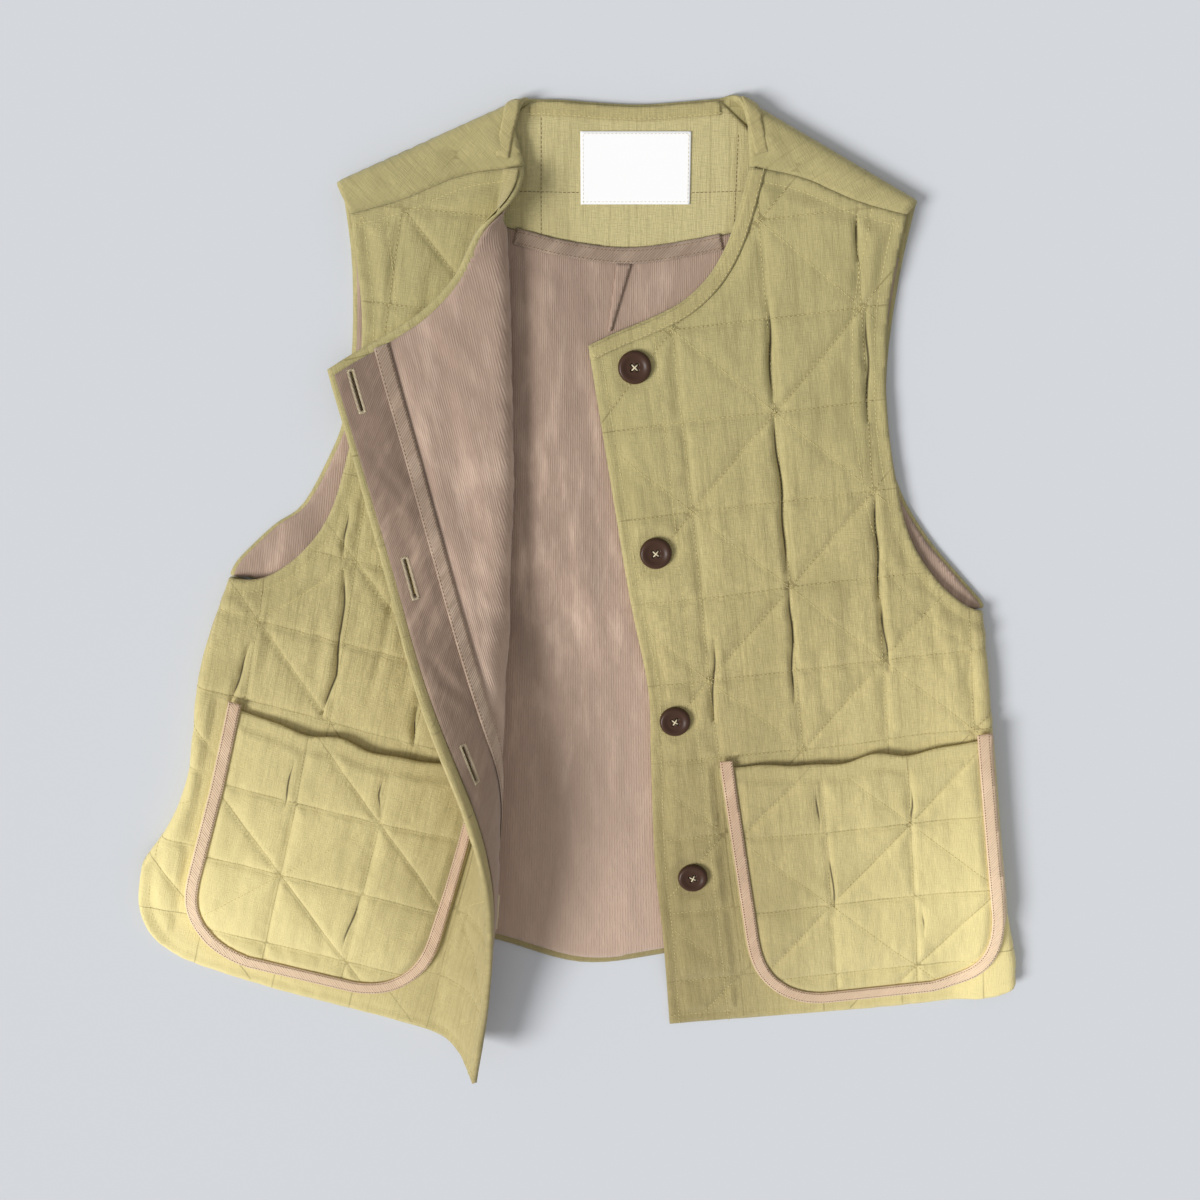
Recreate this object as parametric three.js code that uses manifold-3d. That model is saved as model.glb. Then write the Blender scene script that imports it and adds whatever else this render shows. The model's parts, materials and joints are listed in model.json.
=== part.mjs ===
// A quilted linen waistcoat, unbuttoned and laid face up on a flat surface.
//
// The back lies underneath with its lining up. It turns over at both shoulders and
// comes forward to the two slanting shoulder seams. The fronts lie on it, turn under
// at the sides and meet it again at the side seams. The wearer's right front, on the
// left here, is opened like a lapel: it rolls over on itself and shows its lining, its
// facing and four buttonholes. Its lower corner stands off the surface.
//
// Each piece is cut flat, as a maker cuts cloth: an outline in pattern coordinates,
// u across from the centre front edge, v up from the hem and w out from the inner
// face. The quilting is raised on the outer face, and a lay function then bends the
// flat piece to where it lies. Millimetres, +Z up, neck towards +Y, and the origin is
// on the surface under the middle of the garment.

import * as THREE from "three";
import { mergeVertices } from "three/addons/utils/BufferGeometryUtils.js";
import Module from "manifold-3d";

const wasm = await Module();
wasm.setup();

// Walls and layers
const seamGap = 0.3;
const backWall = 3;
const liningWall = 1;
const frontWall = 3.2;
const pocketWall = 2.2;
const tapeWall = 1;
const labelWall = 0.6;
const liningLevel = backWall + seamGap;
const onLining = liningLevel + liningWall + seamGap;
const layerClearance = 0.5;
const frontLevel = liningLevel + liningWall + layerClearance;
const rightFaceLow = liningWall + 0.7;
const rightStack = rightFaceLow + frontWall;

// Quilting: squares, each with one diagonal, so that every second crossing is a star
const quiltPitch = 60;
const quiltPuff = 1.6;
const cellsPerSquare = 3;
const flatNearEdge = 10;
const fullFromEdge = 20;
const flatRoundButton = 17;

// Sides and shoulders
const sideRadius = 5.5;
const sideRise = 45;
const shoulderRadius = 6;
const shoulderRise = 60;
const hemRise = { from: 58, over: 34 };

// Trim
const bandWidth = 9.5;
const facingWidth = 39;
const tapeWidth = 9;
const bindingWidth = 10;
const edgeInset = 1.5;
const button = { radius: 10.75, thick: 3.4, rim: 1.6, dish: 1.1, hole: 1.1, holeRing: 2.5, sides: 16 };
const buttonRows = [126, 250, 373, 498];
const buttonAcross = 30;
const buttonholeAcross = 17;
const buttonhole = { length: 25, width: 1.6 };

// The cut of a front, the same for both. Columns: u across, v up.
const frontNeck = [
  { u: 2, v: 515 },
  { u: 20, v: 521 },
  { u: 42, v: 527 },
  { u: 64, v: 535 },
  { u: 82, v: 548 },
  { u: 95, v: 565 },
  { u: 104, v: 584 },
  { u: 114, v: 611 },
];
const frontShoulder = [
  { u: 114, v: 611 },
  { u: 145, v: 601 },
  { u: 178, v: 583 },
  { u: 208, v: 571 },
];
const frontArmhole = [
  { u: 208, v: 571 },
  { u: 200, v: 540 },
  { u: 193, v: 505 },
  { u: 190, v: 457 },
  { u: 192, v: 415 },
  { u: 199, v: 368 },
  { u: 214, v: 335 },
  { u: 235, v: 311 },
  { u: 256, v: 303 },
  { u: 283, v: 302 },
];
const frontSide = [
  { u: 283, v: 302 },
  { u: 284, v: 200 },
  { u: 286, v: 110 },
  { u: 287, v: 62 },
];
const frontCorner = [
  { u: 287, v: 62 },
  { u: 284, v: 38 },
  { u: 273, v: 16 },
  { u: 256, v: 2 },
  { u: 232, v: -4 },
];
const frontHem = [
  { u: 232, v: -4 },
  { u: 170, v: -5 },
  { u: 90, v: -3 },
  { u: 0, v: 0 },
];
// The same on the right front, whose corner hangs and has pulled longer
const frontHemPulled = [
  { u: 232, v: -4 },
  { u: 170, v: -9 },
  { u: 90, v: -11 },
  { u: 40, v: -15 },
  { u: 0, v: -27 },
];
// How far the buttoned edge wanders in, as it lies
const leftEdgeWave = [
  { v: 0, u: 0 },
  { v: 76, u: 3 },
  { v: 143, u: 4 },
  { v: 222, u: 10 },
  { v: 275, u: 14 },
  { v: 342, u: 9 },
  { v: 413, u: 6 },
  { v: 515, u: 2 },
];

// Patch pocket, in the front's own coordinates
const pocket = { left: 57, right: 251, top: 212, bottom: 6, cornerWide: 52, cornerTall: 66, dip: 5 };
const pocketGape = { height: 8, depth: 95 };
const bindingEnd = 5;

// Where the left front's flat cut lies: its hem corner and its turn
const leftPlace = { x: 53.2, y: -338.2, turn: 7 };
const leftFold = [
  { v: -10, u: 257 },
  { v: 32, u: 256 },
  { v: 75, u: 251.5 },
  { v: 129, u: 249.5 },
  { v: 192, u: 247 },
  { v: 239, u: 244.5 },
  { v: 320, u: 241.5 },
];

// The right front: its cut turned the other way, its upper part leaning outwards
const rightPlace = { x: -74.6, y: -344.4, turn: 15.5 };
const rightFold = [
  { v: 70, u: 300 },
  { v: 88, u: 285 },
  { v: 105, u: 271 },
  { v: 121, u: 264 },
  { v: 137, u: 262 },
  { v: 170, u: 263 },
  { v: 232, u: 266 },
  { v: 320, u: 253 },
];
const rightSlide = [
  { v: 150, across: 0 },
  { v: 300, across: 6 },
  { v: 400, across: 14 },
  { v: 475, across: 21 },
  { v: 540, across: 27 },
  { v: 611, across: 32 },
];
const rightLean = { most: 9.5, from: 300, over: 270, pivot: 115, fadeFrom: 20, fadeOver: 130 };

// The lapel roll, a row for each section along its axis: where it starts, the radius of
// its lining side and the angle through which the cloth has turned
const lapelAxis = { x: -57, y: 250, tilt: 1.6 };
const lapel = [
  { y: 288, start: -60, radius: 7.5, turn: 2 },
  { y: 262, start: -64.5, radius: 7.5, turn: 70 },
  { y: 240, start: -64.5, radius: 7.5, turn: 150 },
  { y: 212, start: -63, radius: 7.5, turn: 181 },
  { y: 138, start: -61.5, radius: 7.5, turn: 181.5 },
  { y: 72, start: -61.5, radius: 8, turn: 181 },
  { y: 2, start: -65, radius: 11, turn: 176 },
  { y: -70, start: -77, radius: 20, turn: 152 },
  { y: -147, start: -89, radius: 31, turn: 122 },
  { y: -212, start: -99, radius: 39, turn: 96 },
  { y: -290, start: -108, radius: 42, turn: 74 },
  { y: -360, start: -116, radius: 42, turn: 60 },
];
const lapelNeutral = 2.6;
const tightRoll = 16;

// The back, in the plane it lies in
const backNeck = [
  { x: -43, y: 321.5 },
  { x: -24, y: 321.2 },
  { x: 0, y: 319.4 },
  { x: 24, y: 318.4 },
  { x: 48, y: 319.8 },
  { x: 73, y: 321.8 },
];
const backHem = [
  { x: -268, y: -196 },
  { x: -252, y: -222 },
  { x: -215, y: -240 },
  { x: -150, y: -249 },
  { x: -80, y: -264 },
  { x: -15, y: -284 },
  { x: 47, y: -277 },
  { x: 130, y: -257 },
  { x: 205, y: -246 },
  { x: 242, y: -232 },
  { x: 262, y: -205 },
];
const leftArmholeOfBack = [
  { x: 197, y: 258 },
  { x: 190, y: 215 },
  { x: 186, y: 160 },
  { x: 190, y: 110 },
  { x: 201, y: 76 },
  { x: 221, y: 45 },
  { x: 243, y: 20 },
  { x: 257, y: 5 },
  { x: 257, y: 0.5 },
  { x: 247, y: 0.5 },
];
const rightArmholeOfBack = [
  { x: -160, y: 266 },
  { x: -157, y: 225 },
  { x: -160, y: 171 },
  { x: -168, y: 127 },
  { x: -179, y: 101 },
  { x: -199, y: 68 },
  { x: -219, y: 54 },
  { x: -237, y: 38 },
  { x: -245, y: 27 },
  { x: -239, y: 23 },
];
const leftShoulderLine = { x: 84.9, y: 323.3, toX: 197, toY: 262.7 };
const rightShoulderLine = { x: -48.5, y: 321.8, toX: -160, toY: 275 };
const neckMiddle = 18;
const neckFacing = { low: 234, left: -72, right: 99, side: 268, dip: 8 };
const centrePleat = { x: 15, lowX: 6, top: 224, low: 182, width: 9, height: 1.6 };
const label = { left: -12, right: 56, low: 260, top: 303 };

const degrees = Math.PI / 180;

function smooth(t) {
  const k = Math.min(1, Math.max(0, t));
  return k * k * (3 - 2 * k);
}

// Reads a table of rows smoothly: a cubic through the rows on each side of x.
function read(table, key, value, x) {
  const rows = table[0][key] < table[table.length - 1][key] ? table : [...table].reverse();
  const last = rows.length - 1;
  if (x <= rows[0][key]) return rows[0][value];
  if (x >= rows[last][key]) return rows[last][value];
  const i = rows.findIndex((row) => row[key] > x) - 1;
  const slope = (k) => {
    const a = rows[Math.max(0, k - 1)];
    const b = rows[Math.min(last, k + 1)];
    return (b[value] - a[value]) / (b[key] - a[key]);
  };
  const span = rows[i + 1][key] - rows[i][key];
  const t = (x - rows[i][key]) / span;
  const rise = rows[i + 1][value] - rows[i][value];
  const bend = t * t * (3 - 2 * t);
  const leave = t * (1 - t) * (1 - t) * slope(i) * span;
  const arrive = t * t * (t - 1) * slope(i + 1) * span;
  return rows[i][value] + rise * bend + leave + arrive;
}

// A smooth run of points through a table's rows.
function curve(rows, steps) {
  const points = rows.map((row) => new THREE.Vector2(row.u ?? row.x, row.v ?? row.y));
  return new THREE.SplineCurve(points).getPoints(steps);
}

// One outline from runs of points that follow each other.
function outline(...runs) {
  const points = [];
  for (const point of runs.flat()) {
    const before = points[points.length - 1];
    if (!before || before.distanceTo(point) > 0.05) points.push(point);
  }
  if (points[0].distanceTo(points[points.length - 1]) < 0.05) points.pop();
  return points;
}

// A run of points moved sideways, to its left as it is walked.
function offset(points, distance) {
  return points.map((point, i) => {
    const a = points[Math.max(0, i - 1)];
    const b = points[Math.min(points.length - 1, i + 1)];
    const along = b.clone().sub(a).normalize();
    return new THREE.Vector2(point.x - along.y * distance, point.y + along.x * distance);
  });
}

// A strip between a run of points and the same run moved sideways.
function strip(points, from, to) {
  return outline(offset(points, from), offset(points, to).reverse());
}

function distanceToEdge(points, u, v) {
  return distanceToRun([...points, points[0]], u, v);
}

function distanceToRun(points, u, v) {
  let nearest = Infinity;
  points.slice(1).forEach((b, i) => {
    const a = points[i];
    const dx = b.x - a.x;
    const dy = b.y - a.y;
    const t = Math.min(1, Math.max(0, ((u - a.x) * dx + (v - a.y) * dy) / (dx * dx + dy * dy)));
    nearest = Math.min(nearest, Math.hypot(u - a.x - t * dx, v - a.y - t * dy));
  });
  return nearest;
}

// Quilting lattice
// How full the cloth stands at a point: 0 on a line of stitching, 1 in mid-cell.
function fullness(lattice, u, v) {
  const across = (u - lattice.u) / lattice.pitch;
  const up = (v - lattice.v) / lattice.pitch;
  const s = across - Math.floor(across);
  const t = up - Math.floor(up);
  const diagonal = Math.abs(risesRight(lattice, u, v) ? s - t : s + t - 1) / Math.SQRT2;
  const nearest = Math.min(s, 1 - s, t, 1 - t, diagonal) * lattice.pitch;
  return Math.min(1, nearest / (lattice.pitch / cellsPerSquare));
}

// Whether a square's diagonal rises to the right: it joins the two star corners.
function risesRight(lattice, u, v) {
  const i = Math.floor((u - lattice.u) / lattice.pitch + 1e-6);
  const j = Math.floor((v - lattice.v) / lattice.pitch + 1e-6);
  return (((i + j + lattice.parity) % 2) + 2) % 2 === 0;
}

// Solids
function toManifold(geometry) {
  const bare = geometry.clone();
  bare.deleteAttribute("normal");
  bare.deleteAttribute("uv");
  const merged = mergeVertices(bare, 1e-4);
  const mesh = new wasm.Mesh({
    numProp: 3,
    vertProperties: merged.attributes.position.array,
    triVerts: new Uint32Array(merged.index.array),
  });
  return new wasm.Manifold(mesh);
}

function fromManifold(manifold) {
  const mesh = manifold.getMesh();
  const points = [];
  for (let i = 0; i < mesh.vertProperties.length; i += mesh.numProp)
    points.push([...mesh.vertProperties.slice(i, i + 3)]);
  const faces = [];
  for (let i = 0; i < mesh.triVerts.length; i += 3) faces.push([...mesh.triVerts.slice(i, i + 3)]);
  return { points, faces };
}

// While a blank is cut a trace of camber keeps its grid's points, which a flat face would
// lose. On a front there is none well under the pocket, so that its points go there.
const camberRate = 1e-4;
const blankHalf = 60;
const plainUnderPocket = { left: 62, right: 232, bottom: 70, top: 196 };
function camber(u, v, plain) {
  if (plain && u > plain.left && u < plain.right && v > plain.bottom && v < plain.top) return 0;
  return camberRate * (u * u + v * v);
}

// The grid of a blank trimmed to an outline: flat triangles, cut round the edge.
function cutGrid(points, grid, holes = [], plain = null) {
  const box = new THREE.Box2().setFromPoints(points);
  const step = grid.pitch / (grid.cells ?? cellsPerSquare);
  const firstU = Math.floor((box.min.x - grid.u) / step) - 1;
  const firstV = Math.floor((box.min.y - grid.v) / step) - 1;
  const countU = Math.ceil((box.max.x - grid.u) / step) + 1 - firstU;
  const countV = Math.ceil((box.max.y - grid.v) / step) + 1 - firstV;
  const positions = [];
  for (const side of [-blankHalf, blankHalf])
    for (let j = 0; j <= countV; j++)
      for (let i = 0; i <= countU; i++) {
        const [u, v] = [grid.u + (firstU + i) * step, grid.v + (firstV + j) * step];
        positions.push(u, v, side + camber(u, v, plain));
      }
  const layer = (countU + 1) * (countV + 1);
  const at = (i, j, side) => side * layer + j * (countU + 1) + i;
  const index = [];
  for (let j = 0; j < countV; j++)
    for (let i = 0; i < countU; i++) {
      const u = grid.u + (firstU + i + 0.5) * step;
      const v = grid.v + (firstV + j + 0.5) * step;
      const rises = risesRight(grid, u, v);
      for (const side of [0, 1]) {
        const [a, b, c, d] = [at(i, j, side), at(i + 1, j, side), at(i + 1, j + 1, side), at(i, j + 1, side)];
        const pair = rises ? [a, b, c, a, c, d] : [a, b, d, b, c, d];
        index.push(...(side ? pair : pair.reverse()));
      }
    }
  const wall = (a, b) => index.push(a, b, b + layer, a, b + layer, a + layer);
  for (let i = 0; i < countU; i++) {
    wall(at(i, 0, 0), at(i + 1, 0, 0));
    wall(at(i + 1, countV, 0), at(i, countV, 0));
  }
  for (let j = 0; j < countV; j++) {
    wall(at(countU, j, 0), at(countU, j + 1, 0));
    wall(at(0, j + 1, 0), at(0, j, 0));
  }
  const blank = new THREE.BufferGeometry();
  blank.setAttribute("position", new THREE.Float32BufferAttribute(positions, 3));
  blank.setIndex(index);
  let trimmed = toManifold(blank).intersect(cutter(points));
  for (const hole of holes) trimmed = trimmed.subtract(cutter(hole));
  return topOf(trimmed);
}

// A prism through the cloth along an outline.
function cutter(points) {
  const reach = 200;
  const shape = new THREE.Shape(points);
  const prism = new THREE.ExtrudeGeometry(shape, { depth: 2 * reach, bevelEnabled: false });
  return toManifold(prism.translate(0, 0, -reach));
}

// The top face of a flat slab, as points (u, v) and triangles.
function topOf(manifold) {
  const { points, faces } = fromManifold(manifold);
  const top = faces.filter((face) => face.every((i) => points[i][2] > 0));
  const used = [...new Set(top.flat())];
  const renumber = new Map(used.map((old, i) => [old, i]));
  return {
    points: used.map((i) => [points[i][0], points[i][1]]),
    faces: top.map((face) => face.map((i) => renumber.get(i))),
  };
}

// Bends a flat cut to where it lies and gives it its thickness, from low to high above
// the panel's inner face. Its edges are first cut along the lines that run straight
// down each roll, then halved wherever the bent cloth leaves them by too much.
function layCloth(flat, low, high, lay, bends) {
  const points = [...flat.points];
  let faces = flat.faces;
  for (const { measure, levels } of bends)
    for (const level of levels)
      faces = splitEdges(points, faces, (a, b) => crossing(a, b, (p) => measure(p[0], p[1]) - level));
  const inner = ([u, v]) => lay(u, v, 0);
  const strays = (a, b) => {
    const [start, end] = [inner(a), inner(b)];
    const off = (t) => inner(between(a, b, t)).distanceTo(start.clone().lerp(end, t));
    return [0.25, 0.5, 0.75].some((t) => off(t) > layTolerance);
  };
  for (let round = 0; round < mostHalvings; round++)
    faces = splitEdges(points, faces, (a, b) => (strays(a, b) ? 0.5 : null));
  const under = points.map(([u, v]) => lay(u, v, low(u, v)));
  const over = points.map(([u, v]) => lay(u, v, high(u, v)));
  const index = [];
  const edges = new Map();
  for (const [a, b, c] of faces) {
    index.push([a + points.length, b + points.length, c + points.length], [c, b, a]);
    for (const [from, to] of [[a, b], [b, c], [c, a]]) edges.set(from + "," + to, [from, to]);
  }
  for (const [from, to] of edges.values())
    if (!edges.has(to + "," + from)) {
      index.push([from, to, to + points.length], [from, to + points.length, from + points.length]);
    }
  if (turnsOver(lay)) for (const face of index) face.reverse();
  const geometry = new THREE.BufferGeometry();
  const laid = [...under, ...over].flatMap((point) => point.toArray());
  geometry.setAttribute("position", new THREE.Float32BufferAttribute(laid, 3));
  geometry.setIndex(index.flat());
  return geometry;
}

const mostHalvings = 4;
const layTolerance = 0.7;

// Whether a lay function mirrors the cut, as the right front's does.
function turnsOver(lay) {
  const spot = [150, 250, 0];
  const origin = lay(...spot);
  const step = (k) => lay(...spot.map((value, i) => value + (i === k ? 0.1 : 0))).sub(origin);
  return step(0).cross(step(1)).dot(step(2)) < 0;
}

function between(a, b, t) {
  return a.map((value, k) => value + (b[k] - value) * t);
}

// How far along an edge a measure passes zero, or null where it doesn't, or only just.
const closeToEnd = 0.2;
function crossing(a, b, measure) {
  const [first, last] = [measure(a), measure(b)];
  if (Number.isNaN(first) || Number.isNaN(last) || first * last >= 0) return null;
  let [low, high] = [0, 1];
  for (let round = 0; round < 12; round++) {
    const half = (low + high) / 2;
    if (measure(between(a, b, half)) * first > 0) low = half;
    else high = half;
  }
  return low > closeToEnd && high < 1 - closeToEnd ? low : null;
}

// Splits the edges that a rule picks, and each triangle at its split edges.
function splitEdges(points, faces, rule) {
  const middles = new Map();
  const middle = (a, b) => {
    const [i, j] = a < b ? [a, b] : [b, a];
    const key = i + "," + j;
    if (!middles.has(key)) {
      const t = rule(points[i], points[j]);
      middles.set(key, t === null ? null : points.length);
      if (t !== null) points.push(between(points[i], points[j], t));
    }
    return middles.get(key);
  };
  return faces.flatMap(([a, b, c]) => {
    const [ab, bc, ca] = [middle(a, b), middle(b, c), middle(c, a)];
    const count = [ab, bc, ca].filter((m) => m !== null).length;
    if (count === 0) return [[a, b, c]];
    if (count === 3) return [[a, ab, ca], [ab, b, bc], [ca, bc, c], [ab, bc, ca]];
    if (count === 1 && ab !== null) return [[a, ab, c], [ab, b, c]];
    if (count === 1 && bc !== null) return [[b, bc, a], [bc, c, a]];
    if (count === 1) return [[c, ca, b], [ca, a, b]];
    if (ab === null) return [[c, ca, bc], ...quad(points, ca, a, b, bc)];
    if (bc === null) return [[a, ab, ca], ...quad(points, ab, b, c, ca)];
    return [[b, bc, ab], ...quad(points, bc, c, a, ab)];
  });
}

// A four-sided patch as two triangles, on its shorter diagonal.
function quad(points, a, b, c, d) {
  const span = (i, j) => Math.hypot(points[i][0] - points[j][0], points[i][1] - points[j][1]);
  return span(a, c) < span(b, d) ? [[a, b, c], [a, c, d]] : [[a, b, d], [b, c, d]];
}

// Lay functions
// The side fold: past the fold line the cloth turns under through half a circle.
const sideNeutral = sideRadius - frontWall / 2;
function turnUnder(u, w, fold, base, stack) {
  if (u <= fold) return { across: u, z: base + w };
  const radius = sideRadius - stack + w;
  const turned = Math.min((u - fold) / sideNeutral, Math.PI);
  const past = Math.max(0, u - fold - sideNeutral * Math.PI);
  return { across: fold + radius * Math.sin(turned) - past, z: sideRadius + radius * Math.cos(turned) };
}

// How high a front's inner face lies: on the back, lifted towards the side fold and
// the shoulder, and down on the surface below the back's hem.
function frontHeight(u, v, fold, stack) {
  const side = smooth((u - fold + sideRise) / sideRise);
  const seam = read(frontShoulder, "u", "v", Math.max(u, frontShoulder[0].u));
  const shoulder = smooth(1 - (seam - v) / shoulderRise);
  const low = smooth((hemRise.from - v) / hemRise.over) * (1 - side);
  const level = frontLevel * (1 - low);
  const atSide = (2 * sideRadius - stack - level) * side;
  const atShoulder = (2 * shoulderRadius - stack - frontLevel) * shoulder;
  return level + atSide + atShoulder;
}

function layLeft(u, v, w) {
  const fold = read(leftFold, "v", "u", v);
  const { across, z } = turnUnder(u, w, fold, frontHeight(u, v, fold, frontWall), frontWall);
  const turn = leftPlace.turn * degrees;
  return new THREE.Vector3(
    leftPlace.x + across * Math.cos(turn) - v * Math.sin(turn),
    leftPlace.y + across * Math.sin(turn) + v * Math.cos(turn),
    z,
  );
}

function layRight(u, v, w) {
  const fold = read(rightFold, "v", "u", v);
  const base = frontHeight(u, v, fold, rightStack);
  const { across, z } = turnUnder(u, w, fold, base, rightStack);
  const flat = placeRight(u, v, across);
  return rollLapel(flat.x, flat.y, z, base, w);
}

// The right front's flat cut in the plane, with its upper part leaning outwards.
function placeRight(u, v, across) {
  const share = smooth((u - rightLean.fadeFrom) / rightLean.fadeOver);
  const lean = rightLean.most * degrees * smooth((v - rightLean.from) / rightLean.over) * share;
  const out = across + read(rightSlide, "v", "across", v) * share;
  const up = v - (across - rightLean.pivot) * Math.sin(lean);
  const turn = rightPlace.turn * degrees;
  return {
    x: rightPlace.x - out * Math.cos(turn) + up * Math.sin(turn),
    y: rightPlace.y + out * Math.sin(turn) + up * Math.cos(turn),
  };
}

// A point of the plane in the lapel's frame: across its axis and along it.
function lapelFrame(x, y) {
  const tilt = lapelAxis.tilt * degrees;
  const dx = x - lapelAxis.x;
  const dy = y - lapelAxis.y;
  return {
    across: lapelAxis.x + dx * Math.cos(tilt) - dy * Math.sin(tilt),
    along: lapelAxis.y + dx * Math.sin(tilt) + dy * Math.cos(tilt),
  };
}

// The lapel: past the start line the cloth rolls up and back over itself.
function rollLapel(x, y, z, base, w) {
  const tilt = lapelAxis.tilt * degrees;
  const flat = lapelFrame(x, y);
  const along = flat.along;
  let across = flat.across;
  const start = read(lapel, "y", "start", along);
  const past = across - start;
  let height = z;
  if (past > 0) {
    const radius = read(lapel, "y", "radius", along);
    const most = read(lapel, "y", "turn", along) * degrees;
    const neutral = radius - lapelNeutral;
    const turned = Math.min(past / neutral, most);
    const straight = Math.max(0, past - neutral * most);
    across = start + (radius - w) * Math.sin(turned) + straight * Math.cos(turned);
    height = base + radius - (radius - w) * Math.cos(turned) + straight * Math.sin(turned);
  }
  const backX = across - lapelAxis.x;
  const backY = along - lapelAxis.y;
  return new THREE.Vector3(
    lapelAxis.x + backX * Math.cos(tilt) + backY * Math.sin(tilt),
    lapelAxis.y - backX * Math.sin(tilt) + backY * Math.cos(tilt),
    height,
  );
}

// The shoulder line that a point of the back belongs to, with its outward normal.
function shoulderAt(x) {
  const line = x > neckMiddle ? leftShoulderLine : rightShoulderLine;
  const along = new THREE.Vector2(line.toX - line.x, line.toY - line.y).normalize();
  const normal = new THREE.Vector2(-along.y, along.x);
  if (normal.y < 0) normal.negate();
  return { line, normal };
}

const shoulderNeutral = shoulderRadius - backWall / 2;

function pastShoulder(x, y) {
  const { line, normal } = shoulderAt(x);
  return { normal, past: (x - line.x) * normal.x + (y - line.y) * normal.y + shoulderRadius };
}

// The back lies outer face down, w up from it, and turns over at the shoulders.
function layBack(x, y, w) {
  const { normal, past } = pastShoulder(x, y);
  if (past <= 0) return new THREE.Vector3(x, y, w);
  const turned = Math.min(past / shoulderNeutral, Math.PI);
  const beyond = Math.max(0, past - shoulderNeutral * Math.PI);
  const radius = shoulderRadius - w;
  const moved = radius * Math.sin(turned) - beyond - past;
  return new THREE.Vector3(
    x + normal.x * moved,
    y + normal.y * moved,
    shoulderRadius - radius * Math.cos(turned),
  );
}

// Where a point seen on top of the shoulder is in the back's flat cut.
function unfoldShoulder(point) {
  const { normal, past } = pastShoulder(point.x, point.y);
  const move = -2 * past + shoulderNeutral * Math.PI;
  return new THREE.Vector2(point.x + normal.x * move, point.y + normal.y * move);
}

// Outlines
function frontOutline(wave, hem) {
  const edge = wave.map((row) => ({ u: row.u, v: row.v }));
  return outline(
    curve(edge, 9),
    curve(frontNeck, 10),
    curve(frontShoulder, 4),
    curve(frontArmhole, 12),
    curve(frontSide, 3),
    curve(frontCorner, 7),
    curve(hem, 4),
  );
}

const leftOutline = frontOutline(leftEdgeWave, frontHem);
const rightEdge = [
  { u: 0, v: -27 },
  { u: 0, v: 260 },
  { u: 2, v: 515 },
];
const rightOutline = frontOutline(rightEdge, frontHemPulled);

function pocketOutline() {
  const { left, right, top, bottom, cornerWide, cornerTall, dip } = pocket;
  const shape = new THREE.Shape();
  shape.moveTo(left, top);
  shape.lineTo(left + 6, bottom + cornerTall);
  shape.quadraticCurveTo(left + 9, bottom + 4, left + cornerWide + 9, bottom);
  shape.lineTo(right - cornerWide, bottom);
  shape.quadraticCurveTo(right + 4, bottom + 8, right + 3, bottom + cornerTall);
  shape.lineTo(right - 3, top);
  shape.quadraticCurveTo((left + right) / 2, top - 2 * dip, left, top);
  return outline(shape.getPoints(8));
}

const pocketCut = pocketOutline();

// The points of the pocket's edge that the binding follows, from mouth to mouth.
function bindingRun() {
  const mouth = pocket.top - 2 * pocket.dip - 1;
  const round = pocketCut.filter((p) => p.y < mouth);
  const first = pocketCut[0].clone();
  const last = new THREE.Vector2(pocket.right - 3, pocket.top);
  first.y += bindingEnd;
  last.y += bindingEnd;
  return [first, ...round, last];
}

function backOutline() {
  const seamOf = (lay) =>
    curve(frontShoulder, 4).map((p) => {
      const spot = lay(p.x, p.y + seamGap + 0.3, 0);
      return unfoldShoulder(new THREE.Vector2(spot.x, spot.y));
    });
  const sideOf = (lay, side) =>
    curve(frontSide, 8)
      .map((p) => lay(p.x, p.y, 0))
      .map((p) => new THREE.Vector2(p.x - side * (seamGap + 0.6), p.y));
  const leftNeck = [
    { x: 84.9, y: 322 },
    { x: 90, y: 306 },
  ].map((p) => unfoldShoulder(new THREE.Vector2(p.x, p.y)));
  const rightNeck = [
    { x: -52, y: 304 },
    { x: -47, y: 320 },
  ].map((p) => unfoldShoulder(new THREE.Vector2(p.x, p.y)));
  const left = sideOf(layLeft, 1).filter((p) => p.y > -200);
  const right = sideOf(layRight, -1).filter((p) => p.y > -140);
  return outline(
    curve(backNeck, 8),
    leftNeck,
    seamOf(layLeft),
    curve(leftArmholeOfBack, 10),
    left,
    curve(backHem, 16).reverse(),
    right.reverse(),
    curve(rightArmholeOfBack, 10).reverse(),
    seamOf(layRight).reverse(),
    rightNeck,
  );
}

// Pieces
const garment = new THREE.Group();

const colours = {
  linen: 0xbeb26c,
  cord: 0xa98b7c,
  tape: 0xb5937f,
  horn: 0x5f3c2d,
  label: 0xf4f3ef,
};

function add(name, geometry, colour) {
  const material = new THREE.MeshStandardMaterial({ color: colour, roughness: 0.85, metalness: 0 });
  const mesh = new THREE.Mesh(geometry, material);
  mesh.name = name;
  garment.add(mesh);
  return mesh;
}

const leftLattice = { u: -2.5, v: 218, pitch: quiltPitch, parity: 0 };
const pocketLattice = { u: 67, v: 31, pitch: 61 };
const rightLattice = { u: -2.5, v: 218, pitch: quiltPitch, parity: 1 };

// The lines down each roll, at equal turns of the cloth: its ends and middle first and
// then those between, which leaves fewer slivers than cutting from one end.
function turns(count) {
  const levels = [0, count, Math.floor(count / 2)];
  for (let k = 1; k < count; k++) if (!levels.includes(k)) levels.push(k);
  return levels.map((k) => (k * Math.PI) / count);
}
const leftBends = [{ measure: (u, v) => (u - read(leftFold, "v", "u", v)) / sideNeutral, levels: turns(3) }];
const rightBends = [
  { measure: (u, v) => (u - read(rightFold, "v", "u", v)) / sideNeutral, levels: turns(3) },
  { measure: (u, v) => lapelTurn(u, v), levels: turns(4) },
];
const backBends = [{ measure: (x, y) => pastShoulder(x, y).past / shoulderNeutral, levels: turns(4) }];

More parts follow.
